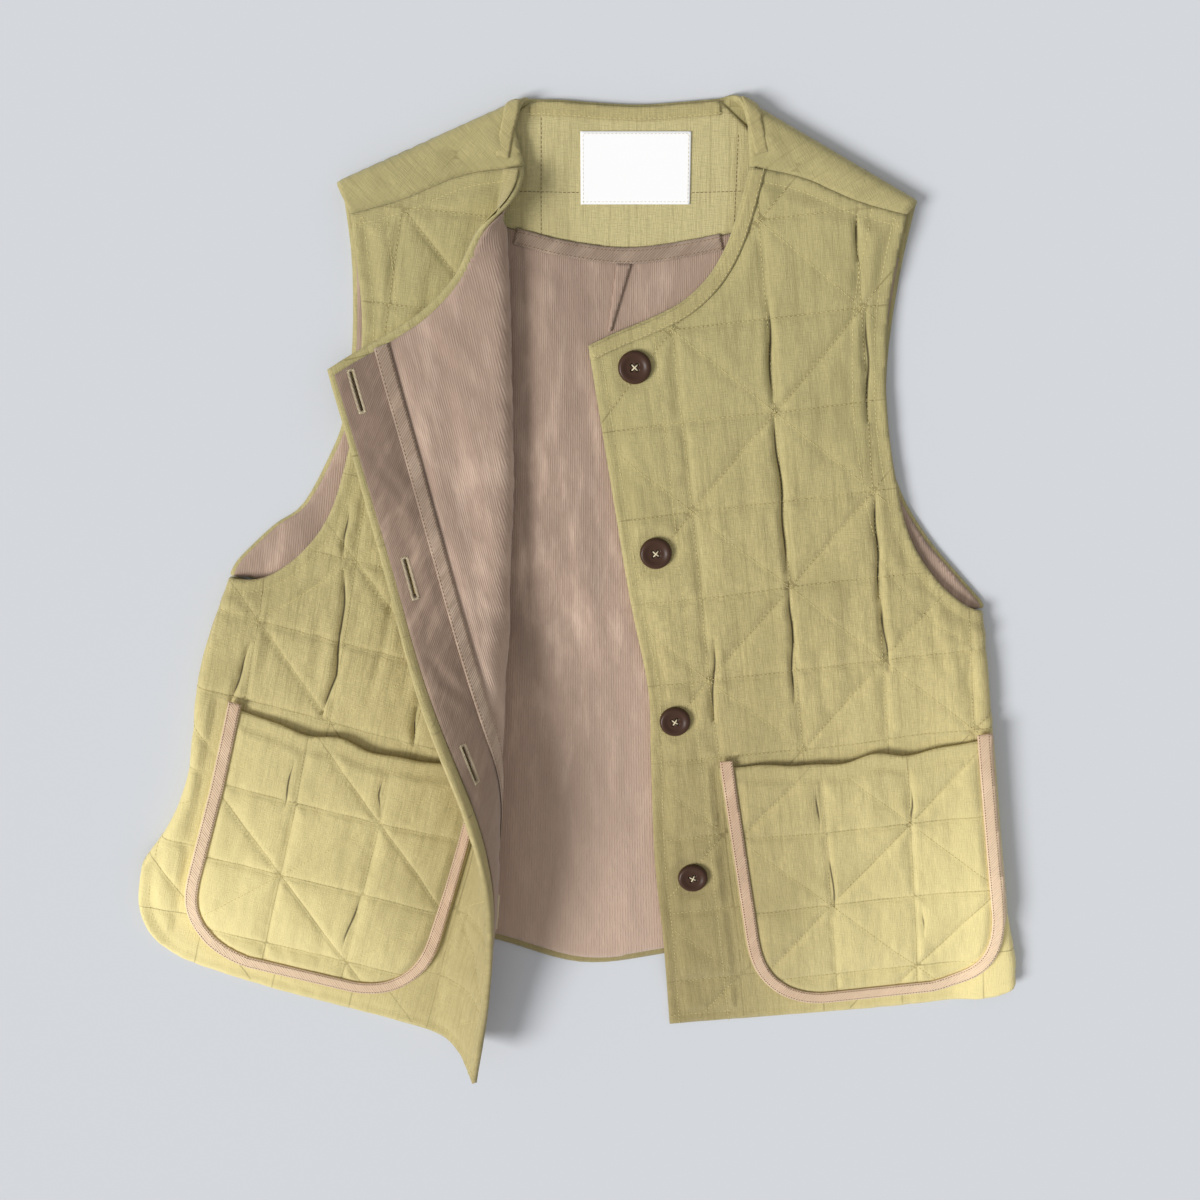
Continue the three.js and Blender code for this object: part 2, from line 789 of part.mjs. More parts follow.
function lapelTurn(u, v) {
  const flat = placeRight(u, v, u);
  const { across, along } = lapelFrame(flat.x, flat.y);
  const radius = read(lapel, "y", "radius", along);
  if (radius > tightRoll) return NaN;
  return (across - read(lapel, "y", "start", along)) / (radius - lapelNeutral);
}

// A plain flat piece between two levels above the inner face.
const plainGrid = { u: 0, v: 0, pitch: 60, cells: 1, parity: 0 };
function plain(points, low, wall, lay, bends, grid = plainGrid, holes = []) {
  const flat = cutGrid(points, grid, holes);
  return layCloth(flat, () => low, () => low + wall, lay, bends);
}

function underPocket(u, v) {
  return u > pocket.left - 6 && u < pocket.right + 8 && v < pocket.top + 3;
}

function frontPiece(points, lattice, low, flattened, lay, bends, holes = []) {
  const puff = (u, v) => {
    if (underPocket(u, v) || flattened(u, v)) return 0;
    const inward = smooth((distanceToEdge(points, u, v) - flatNearEdge) / (fullFromEdge - flatNearEdge));
    return quiltPuff * fullness(lattice, u, v) * inward;
  };
  const high = (u, v) => low + frontWall + puff(u, v);
  return layCloth(cutGrid(points, lattice, holes, plainUnderPocket), () => low, high, lay, bends);
}

// Where an outline's margin ends: the panel is cut there too, so its relief starts there.
function marginOf(run, width) {
  return { measure: (u, v) => distanceToRun(run, u, v), levels: [width] };
}

function nearButton(u, v) {
  return buttonRows.some((row) => Math.hypot(u - buttonAcross, v - row) < flatRoundButton);
}

function buttonholeSlit(row) {
  const { length, width } = buttonhole;
  return [
    new THREE.Vector2(buttonholeAcross - width / 2, row - length / 2),
    new THREE.Vector2(buttonholeAcross + width / 2, row - length / 2),
    new THREE.Vector2(buttonholeAcross + width / 2, row + length / 2),
    new THREE.Vector2(buttonholeAcross - width / 2, row + length / 2),
  ];
}
const buttonholes = buttonRows.map(buttonholeSlit);

// Fronts
const turnedUnder = (fold) => (u, v) => u > read(fold, "v", "u", v) + 2;
const leftFlat = (u, v) => nearButton(u, v) || turnedUnder(leftFold)(u, v);
const neckMargin = marginOf(curve(frontNeck, 12), flatNearEdge);
const leftLines = [neckMargin, ...leftBends];
add("left_front", frontPiece(leftOutline, leftLattice, 0, leftFlat, layLeft, leftLines), colours.linen);
const rightFlat = turnedUnder(rightFold);
const rightLines = [neckMargin, ...rightBends];
add(
  "right_front",
  frontPiece(rightOutline, rightLattice, rightFaceLow, rightFlat, layRight, rightLines, buttonholes),
  colours.linen,
);

// Inside of the right front: facing along the edge, tape over its seam, lining beyond
function onRight(name, points, low, wall, colour, holes) {
  add(name, plain(points, low, wall, layRight, rightBends, rightLattice, holes), colour);
}
const facingFoot = -19;
const facingTop = curve(frontNeck, 24).filter((p) => p.x < facingWidth);
function facingOutline() {
  const top = facingTop.map((p) => new THREE.Vector2(Math.max(p.x, edgeInset), p.y - edgeInset));
  const foot = [new THREE.Vector2(edgeInset, facingFoot - 4)];
  return outline(foot, top, [new THREE.Vector2(facingWidth, facingFoot + 8)]);
}
onRight("right_front_facing", facingOutline(), 0, liningWall, colours.cord, buttonholes);

const liningEdge = facingWidth + seamGap;
const liningReach = [
  { u: 74, v: -6 },
  { u: 91, v: 150 },
  { u: 98, v: 300 },
  { u: 111, v: 440 },
  { u: 121, v: 566 },
];
function rightLiningOutline() {
  const neck = curve(frontNeck, 24).filter((p) => p.x > liningEdge + 2 && p.x < 108);
  const inner = neck.map((p) => new THREE.Vector2(p.x, p.y - edgeInset));
  return outline(
    [new THREE.Vector2(liningEdge, facingFoot + 8)],
    [new THREE.Vector2(liningEdge, inner[0].y)],
    inner,
    [...liningReach].reverse().map((row) => new THREE.Vector2(row.u, row.v)),
  );
}
onRight("right_front_lining", rightLiningOutline(), 0, liningWall, colours.cord);

const tapeStrip = outline([
  new THREE.Vector2(facingWidth - tapeWidth / 2, facingFoot + 12),
  new THREE.Vector2(facingWidth + tapeWidth / 2, facingFoot + 12),
  new THREE.Vector2(facingWidth + tapeWidth / 2, 522),
  new THREE.Vector2(facingWidth - tapeWidth / 2, 521),
]);
onRight("right_front_facing_tape", tapeStrip, -tapeWall - 0.4, tapeWall, colours.tape);

// Back, its lining and the pieces inside its neck
function onBack(name, points, low, wall, colour) {
  add(name, plain(points, low, wall, layBack, backBends), colour);
}
const backCut = backOutline();
onBack("back", backCut, 0, backWall, colours.linen);

const facingLow = [
  { x: neckFacing.left, y: neckFacing.low + neckFacing.dip },
  { x: (neckFacing.left + neckMiddle) / 2, y: neckFacing.low + 1 },
  { x: neckMiddle, y: neckFacing.low - 1 },
  { x: (neckFacing.right + neckMiddle) / 2, y: neckFacing.low + 1 },
  { x: neckFacing.right, y: neckFacing.low + neckFacing.dip },
];
const facingSeam = curve(facingLow, 10);
function backLiningOutline() {
  const sides = backCut.filter((p) => pastShoulder(p.x, p.y).past < -2 && p.y < neckFacing.low);
  const inset = sides.map((p) => {
    const toMiddle = p.x > neckMiddle ? -2 * edgeInset : 2 * edgeInset;
    return new THREE.Vector2(p.x + toMiddle, p.y + (p.y < -190 ? 5 : 0));
  });
  return outline(inset, offset(facingSeam, -seamGap - 0.2));
}
onBack("back_lining", backLiningOutline(), liningLevel, liningWall, colours.cord);

// The lining's one pleat: a narrow fold below the facing at the centre back
const pleatCut = outline([
  new THREE.Vector2(centrePleat.x - centrePleat.width / 2, centrePleat.top),
  new THREE.Vector2(centrePleat.lowX - 1, centrePleat.low),
  new THREE.Vector2(centrePleat.lowX + 1, centrePleat.low),
  new THREE.Vector2(centrePleat.x + centrePleat.width / 2, centrePleat.top),
]);
onBack("back_lining_pleat", pleatCut, onLining, centrePleat.height, colours.cord);

function neckFacingOutline() {
  const top = curve(backNeck, 10).map((p) => new THREE.Vector2(p.x, p.y - edgeInset));
  const sides = [
    new THREE.Vector2(neckFacing.right, neckFacing.side + 30),
    new THREE.Vector2(neckFacing.right, neckFacing.low + neckFacing.dip),
  ];
  const otherSide = [new THREE.Vector2(neckFacing.left, neckFacing.side + 30)];
  return outline(top, sides, curve(facingLow, 10).reverse(), otherSide).filter(
    (p) => pastShoulder(p.x, p.y).past < 4,
  );
}
onBack("back_neck_facing", neckFacingOutline(), liningLevel, liningWall, colours.linen);
const openSeam = facingSeam.filter((p) => p.x > -46 && p.x < 80);
onBack("back_neck_facing_tape", strip(openSeam, 1, -tapeWidth), onLining, tapeWall, colours.tape);
const neckRun = curve(backNeck, 10);
onBack("back_neck_band", strip(neckRun, -edgeInset, -bandWidth), onLining, tapeWall, colours.linen);

const labelCut = [
  new THREE.Vector2(label.left, label.low),
  new THREE.Vector2(label.right, label.low),
  new THREE.Vector2(label.right, label.top),
  new THREE.Vector2(label.left, label.top),
];
onBack("label", labelCut, onLining, labelWall, colours.label);

// Bands round the neck on the outside of the fronts
const frontNeckRun = curve(frontNeck, 14);
const frontBand = strip(frontNeckRun, -edgeInset, -bandWidth);
const bandLevel = frontWall + seamGap;
add("left_neck_band", plain(frontBand, bandLevel, tapeWall, layLeft, leftBends, leftLattice), colours.linen);
const bandThatShows = strip(frontNeckRun.filter((p) => p.x > 96), -edgeInset, -bandWidth);
onRight("right_neck_band", bandThatShows, rightFaceLow + bandLevel + 0.5, tapeWall, colours.linen);

// Pockets: a quilted patch whose mouth stands open, bound round its sides and foot
const pocketStand = 0.6;
function gape(u, v) {
  const inMouth = smooth(1 - (pocket.top - v) / pocketGape.depth);
  const middle = (pocket.left + pocket.right) / 2;
  const half = (pocket.right - pocket.left) / 2;
  const acrossMouth = smooth(1.25 - Math.abs(u - middle) / half);
  return pocketGape.height * inMouth * acrossMouth;
}
function pocketPuff(lattice, u, v) {
  const inward = smooth((distanceToEdge(pocketCut, u, v) - bindingWidth - 0.5) / 5);
  return quiltPuff * fullness(lattice, u, v) * inward;
}
function pocketPiece(lattice, lay, bends) {
  const low = (u, v) => pocketStand + gape(u, v);
  const high = (u, v) => low(u, v) + pocketWall + pocketPuff(lattice, u, v);
  const edge = marginOf([...pocketCut, pocketCut[0]], bindingWidth + 0.5);
  return layCloth(cutGrid(pocketCut, lattice), low, high, lay, [edge, ...bends]);
}
function bindingPiece(lattice, lay, bends) {
  const low = (u, v) => pocketStand + gape(u, v) + pocketWall + 2 * seamGap;
  const flat = cutGrid(strip(bindingRun(), 1, bindingWidth), lattice);
  return layCloth(flat, low, (u, v) => low(u, v) + tapeWall, lay, bends);
}
function raised(lay, by) {
  return (u, v, w) => lay(u, v, w + by);
}
function addPocket(side, lay, stack, parity, bends) {
  const on = raised(lay, stack);
  const lattice = { ...pocketLattice, parity };
  add(side + "_pocket", pocketPiece(lattice, on, bends), colours.linen);
  add(side + "_pocket_binding", bindingPiece(lattice, on, bends), colours.tape);
}
addPocket("left", layLeft, frontWall, 0, leftBends);
addPocket("right", layRight, rightStack, 1, rightBends);

// Buttons: a turned disc with a raised rim and four holes, sewn flat on the left front
function buttonGeometry() {
  const { radius, thick, rim, dish, hole, holeRing, sides } = button;
  const profile = [
    new THREE.Vector2(0, 0),
    new THREE.Vector2(radius * 0.8, 0),
    new THREE.Vector2(radius, thick * 0.5),
    new THREE.Vector2(radius - rim, thick),
    new THREE.Vector2(radius - rim * 2.2, thick - dish),
    new THREE.Vector2(0, thick - dish),
  ];
  let disc = toManifold(new THREE.LatheGeometry(profile, sides).rotateX(Math.PI / 2));
  for (let k = 0; k < 4; k++) {
    const angle = (k + 0.5) * (Math.PI / 2);
    const drill = new THREE.CylinderGeometry(hole, hole, 3 * thick, 6).rotateX(Math.PI / 2);
    drill.translate(holeRing * Math.cos(angle), holeRing * Math.sin(angle), 0);
    disc = disc.subtract(toManifold(drill));
  }
  const { points, faces } = fromManifold(disc);
  const geometry = new THREE.BufferGeometry();
  geometry.setAttribute("position", new THREE.Float32BufferAttribute(points.flat(), 3));
  geometry.setIndex(faces.flat());
  return geometry;
}
buttonRows.forEach((row, i) => {
  const mesh = add("button_" + (buttonRows.length - i), buttonGeometry(), colours.horn);
  mesh.position.copy(layLeft(buttonAcross, row, frontWall + seamGap));
  mesh.rotation.z = leftPlace.turn * degrees;
});

const bounds = new THREE.Box3().setFromObject(garment);
const middle = bounds.getCenter(new THREE.Vector3());
garment.position.set(-middle.x, -middle.y, -bounds.min.z);

export default garment;
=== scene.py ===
# %% [markdown]
# # A quilted linen waistcoat, laid out flat
#
# The garment is unbuttoned and lies face up. Its back is underneath with the lining
# showing, and the wearer's right front, on the left of the picture, is folded over on
# itself like a lapel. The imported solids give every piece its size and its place. This
# script gives each one its cloth: quilted relief, seams, stitches, nap and creases.

import json
import math

import bpy
import numpy as np
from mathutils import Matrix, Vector
from mathutils.geometry import delaunay_2d_cdt

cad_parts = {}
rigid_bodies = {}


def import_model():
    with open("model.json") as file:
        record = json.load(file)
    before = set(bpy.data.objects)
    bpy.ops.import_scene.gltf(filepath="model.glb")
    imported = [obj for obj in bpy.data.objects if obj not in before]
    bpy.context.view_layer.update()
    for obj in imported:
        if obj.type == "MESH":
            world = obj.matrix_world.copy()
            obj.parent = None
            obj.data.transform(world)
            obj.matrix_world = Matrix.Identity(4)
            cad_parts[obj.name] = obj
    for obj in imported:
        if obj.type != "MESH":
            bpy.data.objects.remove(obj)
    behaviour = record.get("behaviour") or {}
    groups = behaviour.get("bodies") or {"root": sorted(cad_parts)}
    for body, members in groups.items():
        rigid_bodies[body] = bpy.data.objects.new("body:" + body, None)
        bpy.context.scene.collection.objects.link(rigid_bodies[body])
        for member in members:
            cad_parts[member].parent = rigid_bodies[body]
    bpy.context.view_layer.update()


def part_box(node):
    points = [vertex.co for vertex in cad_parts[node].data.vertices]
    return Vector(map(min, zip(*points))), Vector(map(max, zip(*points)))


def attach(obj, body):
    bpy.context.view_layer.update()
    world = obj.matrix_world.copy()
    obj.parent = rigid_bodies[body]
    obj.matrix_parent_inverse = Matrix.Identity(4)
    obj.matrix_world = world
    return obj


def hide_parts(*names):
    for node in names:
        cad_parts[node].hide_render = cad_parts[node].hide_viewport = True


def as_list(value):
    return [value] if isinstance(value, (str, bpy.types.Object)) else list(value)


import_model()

# %% [markdown]
# ## Pattern coordinates
#
# A maker thinks of a waistcoat as flat pieces: how far across from the front edge, and
# how far up from the hem. The same two numbers place everything here. Each piece is
# drawn flat in millimetres, and a "lay" function bends it to where it lies. Tables of
# named columns hold the few measured places, and a smooth curve is read through them.


# %% Reading a table smoothly
def read(table, key, value, x):
    """A cubic through a table's rows, as a tailor's curve passes through its marks."""
    rows = sorted(table, key=lambda row: row[key])
    xs = np.array([row[key] for row in rows], float)
    ys = np.array([row[value] for row in rows], float)
    slopes = np.empty_like(ys)
    slopes[1:-1] = (ys[2:] - ys[:-2]) / (xs[2:] - xs[:-2])
    slopes[0] = (ys[1] - ys[0]) / (xs[1] - xs[0])
    slopes[-1] = (ys[-1] - ys[-2]) / (xs[-1] - xs[-2])
    x = np.clip(np.asarray(x, float), xs[0], xs[-1])
    i = np.clip(np.searchsorted(xs, x, side="right") - 1, 0, len(xs) - 2)
    span = xs[i + 1] - xs[i]
    t = (x - xs[i]) / span
    bend = t * t * (3 - 2 * t)
    leave = t * (1 - t) ** 2 * slopes[i] * span
    arrive = t * t * (t - 1) * slopes[i + 1] * span
    return ys[i] + (ys[i + 1] - ys[i]) * bend + leave + arrive


def smooth(t):
    k = np.clip(t, 0, 1)
    return k * k * (3 - 2 * k)


def rows(keys, *values):
    names = keys.split()
    return [dict(zip(names, value)) for value in values]


def curve(table, steps):
    """A smooth run of points through a table's rows, two columns each."""
    points = np.array([[row[key] for key in list(row)[:2]] for row in table], float)
    last = len(points) - 1
    run = []
    for k in range(steps + 1):
        place = last * k / steps
        i = min(int(place), last - 1) if k < steps else last - 1
        t = place - i
        before, a, b, after = (points[max(i - 1, 0)], points[i], points[i + 1], points[min(i + 2, last)])
        start, end = (b - before) / 2, (after - a) / 2
        run.append(
            a
            + start * t
            + (3 * (b - a) - 2 * start - end) * t * t
            + (2 * (a - b) + start + end) * t**3
        )
    return np.array(run)


def outline(*runs):
    """One closed outline from runs of points that follow each other."""
    points = [p for run in runs for p in np.asarray(run, float).reshape(-1, 2)]
    kept = [points[0]]
    for point in points[1:]:
        if np.hypot(*(point - kept[-1])) > 0.05:
            kept.append(point)
    if np.hypot(*(kept[0] - kept[-1])) < 0.05:
        kept.pop()
    return np.array(kept)

# %% [markdown]
# ## Walls, layers and the cut
#
# Sizes are in millimetres. The cloth lies in layers: the back's shell, its lining, then
# the fronts with their trim. A front is 3.2 mm thick because it is quilted over a thin
# wadding, and it turns under at the side in half a circle.

# %% Walls and layers
seam_gap = 0.3
back_wall = 3.0
lining_wall = 1.0
front_wall = 3.2
pocket_wall = 2.2
tape_wall = 1.0
label_wall = 0.6
lining_level = back_wall + seam_gap
on_lining = lining_level + lining_wall + seam_gap
front_level = lining_level + lining_wall + 0.5
right_face_low = lining_wall + 0.7
right_stack = right_face_low + front_wall

side_radius = 5.5
side_rise = 45
shoulder_radius = 6.0
shoulder_rise = 60

quilt_pitch = 60
facing_width = 39
tape_width = 9
band_width = 9.5
binding_width = 10
edge_inset = 1.5
facing_foot = -19
placket_width = 45
hem_stitching = 7.5
armhole_stitching = 22
button_rows = [126, 250, 373, 498]
button_across = 30
button_radius = 10.75
button_hole = 1.05
button_hole_spread = 2.5
buttonhole_across = 17
buttonhole_length = 25
buttonhole_slit = 1.6
print("front", front_wall, "mm thick on a level of", front_level)

# %% The cut of a front
front_neck = rows(
    "u v", (2, 515), (20, 521), (42, 527), (64, 535), (82, 548), (95, 565), (104, 584), (114, 611)
)
front_shoulder = rows("u v", (114, 611), (145, 601), (178, 583), (208, 571))
front_armhole = rows(
    "u v",
    (208, 571), (200, 540), (193, 505), (190, 457), (192, 415),
    (199, 368), (214, 335), (235, 311), (256, 303), (283, 302),
)
front_side = rows("u v", (283, 302), (284, 200), (286, 110), (287, 62))
front_corner = rows("u v", (287, 62), (284, 38), (273, 16), (256, 2), (232, -4))
left_hem = rows("u v", (232, -4), (170, -5), (90, -3), (0, 0))
right_hem = rows("u v", (232, -4), (170, -9), (90, -11), (40, -15), (0, -27))
left_edge = rows(
    "u v", (0, 0), (3, 76), (4, 143), (10, 222), (14, 275), (9, 342), (6, 413), (2, 515)
)
right_edge = rows("u v", (0, -27), (0, 260), (2, 515))


def front_outline(edge, hem):
    return outline(
        curve(edge, 36),
        curve(front_neck, 40),
        curve(front_shoulder, 16),
        curve(front_armhole, 48),
        curve(front_side, 24),
        curve(front_corner, 28),
        curve(hem, 24),
    )


left_outline = front_outline(left_edge, left_hem)
right_outline = front_outline(right_edge, right_hem)
print("a front's cut has", len(left_outline), "points")

# %% The patch pocket's cut
pocket_left, pocket_right, pocket_top, pocket_foot = 57, 251, 212, 6
mouth_dip = 5


def bend_run(start, control, end, steps=24):
    """Points of a quadratic bend, without its first."""
    t = np.linspace(0, 1, steps + 1)[1:, None]
    return (1 - t) ** 2 * np.array(start) + 2 * t * (1 - t) * np.array(control) + t * t * np.array(end)


def mouth_run():
    """The mouth's edge from right to left: it dips, and it wavers as cut cloth does."""
    left, right, top = pocket_left, pocket_right, pocket_top
    middle = ((left + right) / 2, top - 2 * mouth_dip)
    run = bend_run((right - 3, top), middle, (left, top), 60)
    share = np.linspace(0, 1, 61)[1:]
    waver = np.sin(share * math.pi * 5.3 + 0.6) + 0.7 * np.sin(share * math.pi * 9.1 + 2.0)
    run[:, 1] += 1.9 * waver * np.sin(share * math.pi)
    return run


def pocket_outline():
    left, right, top, foot = pocket_left, pocket_right, pocket_top, pocket_foot
    return outline(
        [(left + 6 * k / 20, top + (foot + 66 - top) * k / 20) for k in range(1, 21)],
        bend_run((left + 6, foot + 66), (left + 9, foot + 4), (left + 61, foot)),
        [(left + 61 + (right - left - 113) * k / 12, foot) for k in range(1, 13)],
        bend_run((right - 52, foot), (right + 4, foot + 8), (right + 3, foot + 66)),
        [(right + 3 - 6 * k / 20, foot + 66 + (top - foot - 66) * k / 20) for k in range(1, 21)],
        mouth_run(),
    )


pocket_cut = pocket_outline()
print("pocket", np.ptp(pocket_cut, axis=0).round(), "mm")

# %% Where the fronts lie
left_place = dict(x=53.2, y=-338.2, turn=math.radians(7))
left_fold = rows(
    "v u", (-10, 257), (32, 256), (75, 251.5), (129, 249.5), (192, 247), (239, 244.5), (320, 241.5)
)
right_place = dict(x=-74.6, y=-344.4, turn=math.radians(15.5))
right_fold = rows(
    "v u",
    (44, 300), (66, 288), (92, 275), (121, 266), (145, 263), (170, 263), (232, 266), (320, 253),
)
right_slide = rows(
    "v across", (150, 0), (300, 6), (400, 14), (475, 21), (540, 27), (611, 32)
)
lapel_x, lapel_y, lapel_tilt = -57, 250, math.radians(1.6)
lapel_neutral = 2.6
lapel = rows(
    "y start radius turn",
    (288, -60, 7.5, 2), (262, -64.5, 7.5, 70), (240, -64.5, 7.5, 150), (212, -63, 7.5, 181),
    (138, -61.5, 7.5, 181.5), (72, -61.5, 8, 181), (2, -65, 11, 176), (-70, -77, 20, 152),
    (-147, -89, 31, 122), (-212, -99, 39, 96), (-290, -108, 42, 74), (-360, -116, 42, 60),
)
print("the lapel rolls through", lapel[3]["turn"], "degrees at its top")

# %% The back's cut, in the plane it lies in
back_neck = rows(
    "x y", (-43, 321.5), (-24, 321.2), (0, 319.4), (24, 318.4), (48, 319.8), (73, 321.8)
)
back_hem = rows(
    "x y",
    (-268, -196), (-252, -222), (-215, -240), (-150, -249), (-80, -264), (-15, -284),
    (47, -277), (130, -257), (205, -246), (242, -232), (262, -205),
)
left_back_armhole = rows(
    "x y",
    (197, 258), (190, 215), (186, 160), (190, 110), (201, 76), (221, 45), (243, 20),
    (256, 6), (262, -1), (262, -5), (250, -5),
)
right_back_armhole = rows(
    "x y",
    (-160, 266), (-157, 225), (-160, 171), (-168, 127), (-179, 101), (-199, 68), (-219, 54),
    (-237, 38), (-246, 29), (-251, 21), (-250, 18), (-240, 18),
)
left_shoulder_line = ((84.9, 323.3), (197, 262.7))
right_shoulder_line = ((-48.5, 321.8), (-160, 275))
neck_middle = 18
facing_low_edge = rows("x y", (-72, 250), (-49, 244), (-20, 237), (18, 233), (58.5, 238), (99, 247))
label_low, label_high = (-12, 260), (56, 303)
print("back", np.ptp(curve(back_hem, 16)[:, 0]).round(), "mm wide at its hem")

# %% [markdown]
# ## How each piece lies
#
# `w` is the distance out from a panel's inner face. The left front lies flat and turns
# under at its side. The right front does too, and its free edge also rolls over like a
# lapel, tightly at the neck and wide at the hem. The back lies outer face down and turns
# over at the shoulders.

# %% The fronts' lay
side_neutral = side_radius - front_wall / 2


def turn_under(u, w, fold, base, stack):
    """Past the fold line the cloth turns under through half a circle."""
    radius = side_radius - stack + w
    turned = np.clip((u - fold) / side_neutral, 0, np.pi)
    past = np.maximum(0, u - fold - side_neutral * np.pi)
    across = np.where(u > fold, fold + radius * np.sin(turned) - past, u)
    return across, np.where(u > fold, side_radius + radius * np.cos(turned), base + w)


def front_height(u, v, fold, stack):
    """How high a front's inner face lies: on the back, lifted at its side and shoulder."""
    side = smooth((u - fold + side_rise) / side_rise)
    seam = read(front_shoulder, "u", "v", np.maximum(u, 114))
    shoulder = smooth(1 - (seam - v) / shoulder_rise)
    low = smooth((58 - v) / 34) * (1 - side)
    level = front_level * (1 - low)
    at_side = (2 * side_radius - stack - level) * side
    return level + at_side + (2 * shoulder_radius - stack - front_level) * shoulder


def lay_left(u, v, w):
    fold = read(left_fold, "v", "u", v)
    base = front_height(u, v, fold, front_wall)
    across, z = turn_under(u, w, fold, base, front_wall)
    cos, sin = math.cos(left_place["turn"]), math.sin(left_place["turn"])
    x = left_place["x"] + across * cos - v * sin
    y = left_place["y"] + across * sin + v * cos
    return np.stack([x, y, z], axis=-1)


def place_right(u, v, across):
    """The right front's cut in the plane, its upper part leaning outwards."""
    share = smooth((u - 20) / 130)
    lean = math.radians(9.5) * smooth((v - 300) / 270) * share
    out = across + read(right_slide, "v", "across", v) * share
    up = v - (across - 115) * np.sin(lean)
    cos, sin = math.cos(right_place["turn"]), math.sin(right_place["turn"])
    return right_place["x"] - out * cos + up * sin, right_place["y"] + out * sin + up * cos


def roll_lapel(x, y, z, base, w):
    """Past its start line the cloth rolls up and back over itself."""
    cos, sin = math.cos(lapel_tilt), math.sin(lapel_tilt)
    dx, dy = x - lapel_x, y - lapel_y
    across = lapel_x + dx * cos - dy * sin
    along = lapel_y + dx * sin + dy * cos
    start = read(lapel, "y", "start", along)
    radius = read(lapel, "y", "radius", along)
    most = np.radians(read(lapel, "y", "turn", along))
    past = across - start
    neutral = radius - lapel_neutral
    turned = np.clip(past / neutral, 0, most)
    straight = np.maximum(0, past - neutral * most)
    bent = start + (radius - w) * np.sin(turned) + straight * np.cos(turned)
    lifted = base + radius - (radius - w) * np.cos(turned) + straight * np.sin(turned)
    back_x = np.where(past > 0, bent, across) - lapel_x
    back_y = along - lapel_y
    return np.stack(
        [
            lapel_x + back_x * cos + back_y * sin,
            lapel_y - back_x * sin + back_y * cos,
            np.where(past > 0, lifted, z),
        ],
        axis=-1,
    )


def lay_right(u, v, w):
    fold = read(right_fold, "v", "u", v)
    base = front_height(u, v, fold, right_stack)
    across, z = turn_under(u, w, fold, base, right_stack)
    x, y = place_right(u, v, across)
    return roll_lapel(x, y, z, base, w)


print("left hem corner lies at", lay_left(np.array([0.0]), np.array([0.0]), 0.0).round(1))

# %% The back's lay
shoulder_neutral = shoulder_radius - back_wall / 2


def past_shoulder(x, y):
    """How far a point is past the turn at its shoulder, and which way the turn faces."""
    is_left = np.asarray(x) > neck_middle
    found = []
    for start, end in (left_shoulder_line, right_shoulder_line):
        along = np.array(end) - np.array(start)
        along = along / np.hypot(*along)
        normal = np.array([-along[1], along[0]]) * (1 if along[0] > 0 else -1)
        past = (x - start[0]) * normal[0] + (y - start[1]) * normal[1] + shoulder_radius
        found.append((past, normal))
    past = np.where(is_left, found[0][0], found[1][0])
    normal = np.where(is_left[..., None], found[0][1], found[1][1])
    return past, normal


def lay_back(x, y, w):
    past, normal = past_shoulder(x, y)
    turned = np.clip(past / shoulder_neutral, 0, np.pi)
    beyond = np.maximum(0, past - shoulder_neutral * np.pi)
    radius = shoulder_radius - w
    moved = np.where(past > 0, radius * np.sin(turned) - beyond - past, 0)
    z = np.where(past > 0, shoulder_radius - radius * np.cos(turned), w)
    return np.stack([x + normal[..., 0] * moved, y + normal[..., 1] * moved, z], axis=-1)


def unfold_shoulder(points):
    """Where points seen on top of the shoulder are in the back's flat cut."""
    past, normal = past_shoulder(points[:, 0], points[:, 1])
    move = -2 * past + shoulder_neutral * np.pi
    return points + normal * move[:, None]


def back_outline():
    def shoulder_seam(lay):
        run = curve(front_shoulder, 16)
        return unfold_shoulder(lay(run[:, 0], run[:, 1] + 0.1, 0.0)[:, :2])

    def side_seam(lay, inward):
        run = curve(front_side, 32)
        return lay(run[:, 0], run[:, 1], 0.0)[:, :2] + [inward * (seam_gap + 0.6), 0]

    left, right = side_seam(lay_left, -1), side_seam(lay_right, 1)
    return outline(
        curve(back_neck, 32),
        unfold_shoulder(np.array([(84.9, 322), (90, 306)])),
        shoulder_seam(lay_left),
        curve(left_back_armhole, 40),
        left[left[:, 1] > -200],
        curve(back_hem, 64)[::-1],
        right[right[:, 1] > -140][::-1],
        curve(right_back_armhole, 40)[::-1],
        shoulder_seam(lay_right)[::-1],
        unfold_shoulder(np.array([(-52, 304), (-47, 320)])),
    )


back_cut = back_outline()
print("the back's cut is", np.ptp(back_cut, axis=0).round(), "mm")

# %% From the plane to the frame
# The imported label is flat, so its corner shows where the plane's middle lies.
label_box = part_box("label")
shift = np.array(label_box[0]) * 1000 - np.array([*label_low, on_lining])
print("shift in mm", shift.round(3))

# %% [markdown]
# ## Cutting and bending the cloth
#
# A piece starts as a grid of points inside its outline, joined up as triangles. The same
# grid makes its inner and its outer face, and a rim joins them. The mesh keeps the flat
# pattern as its UV map, in metres, so that the weave follows the cloth round each fold.

# %% Distances and inside tests
def near_run(run, u, v, closed=False):
    """Distance from each point to the nearest place on a run of points."""
    run = np.asarray(run, float)
    if closed:
        run = np.vstack([run, run[:1]])
    nearest = np.full(np.shape(u), 1e9)
    for a, b in zip(run[:-1], run[1:]):
        d = b - a
        t = np.clip(((u - a[0]) * d[0] + (v - a[1]) * d[1]) / (d @ d), 0, 1)
        nearest = np.minimum(nearest, np.hypot(u - a[0] - t * d[0], v - a[1] - t * d[1]))
    return nearest


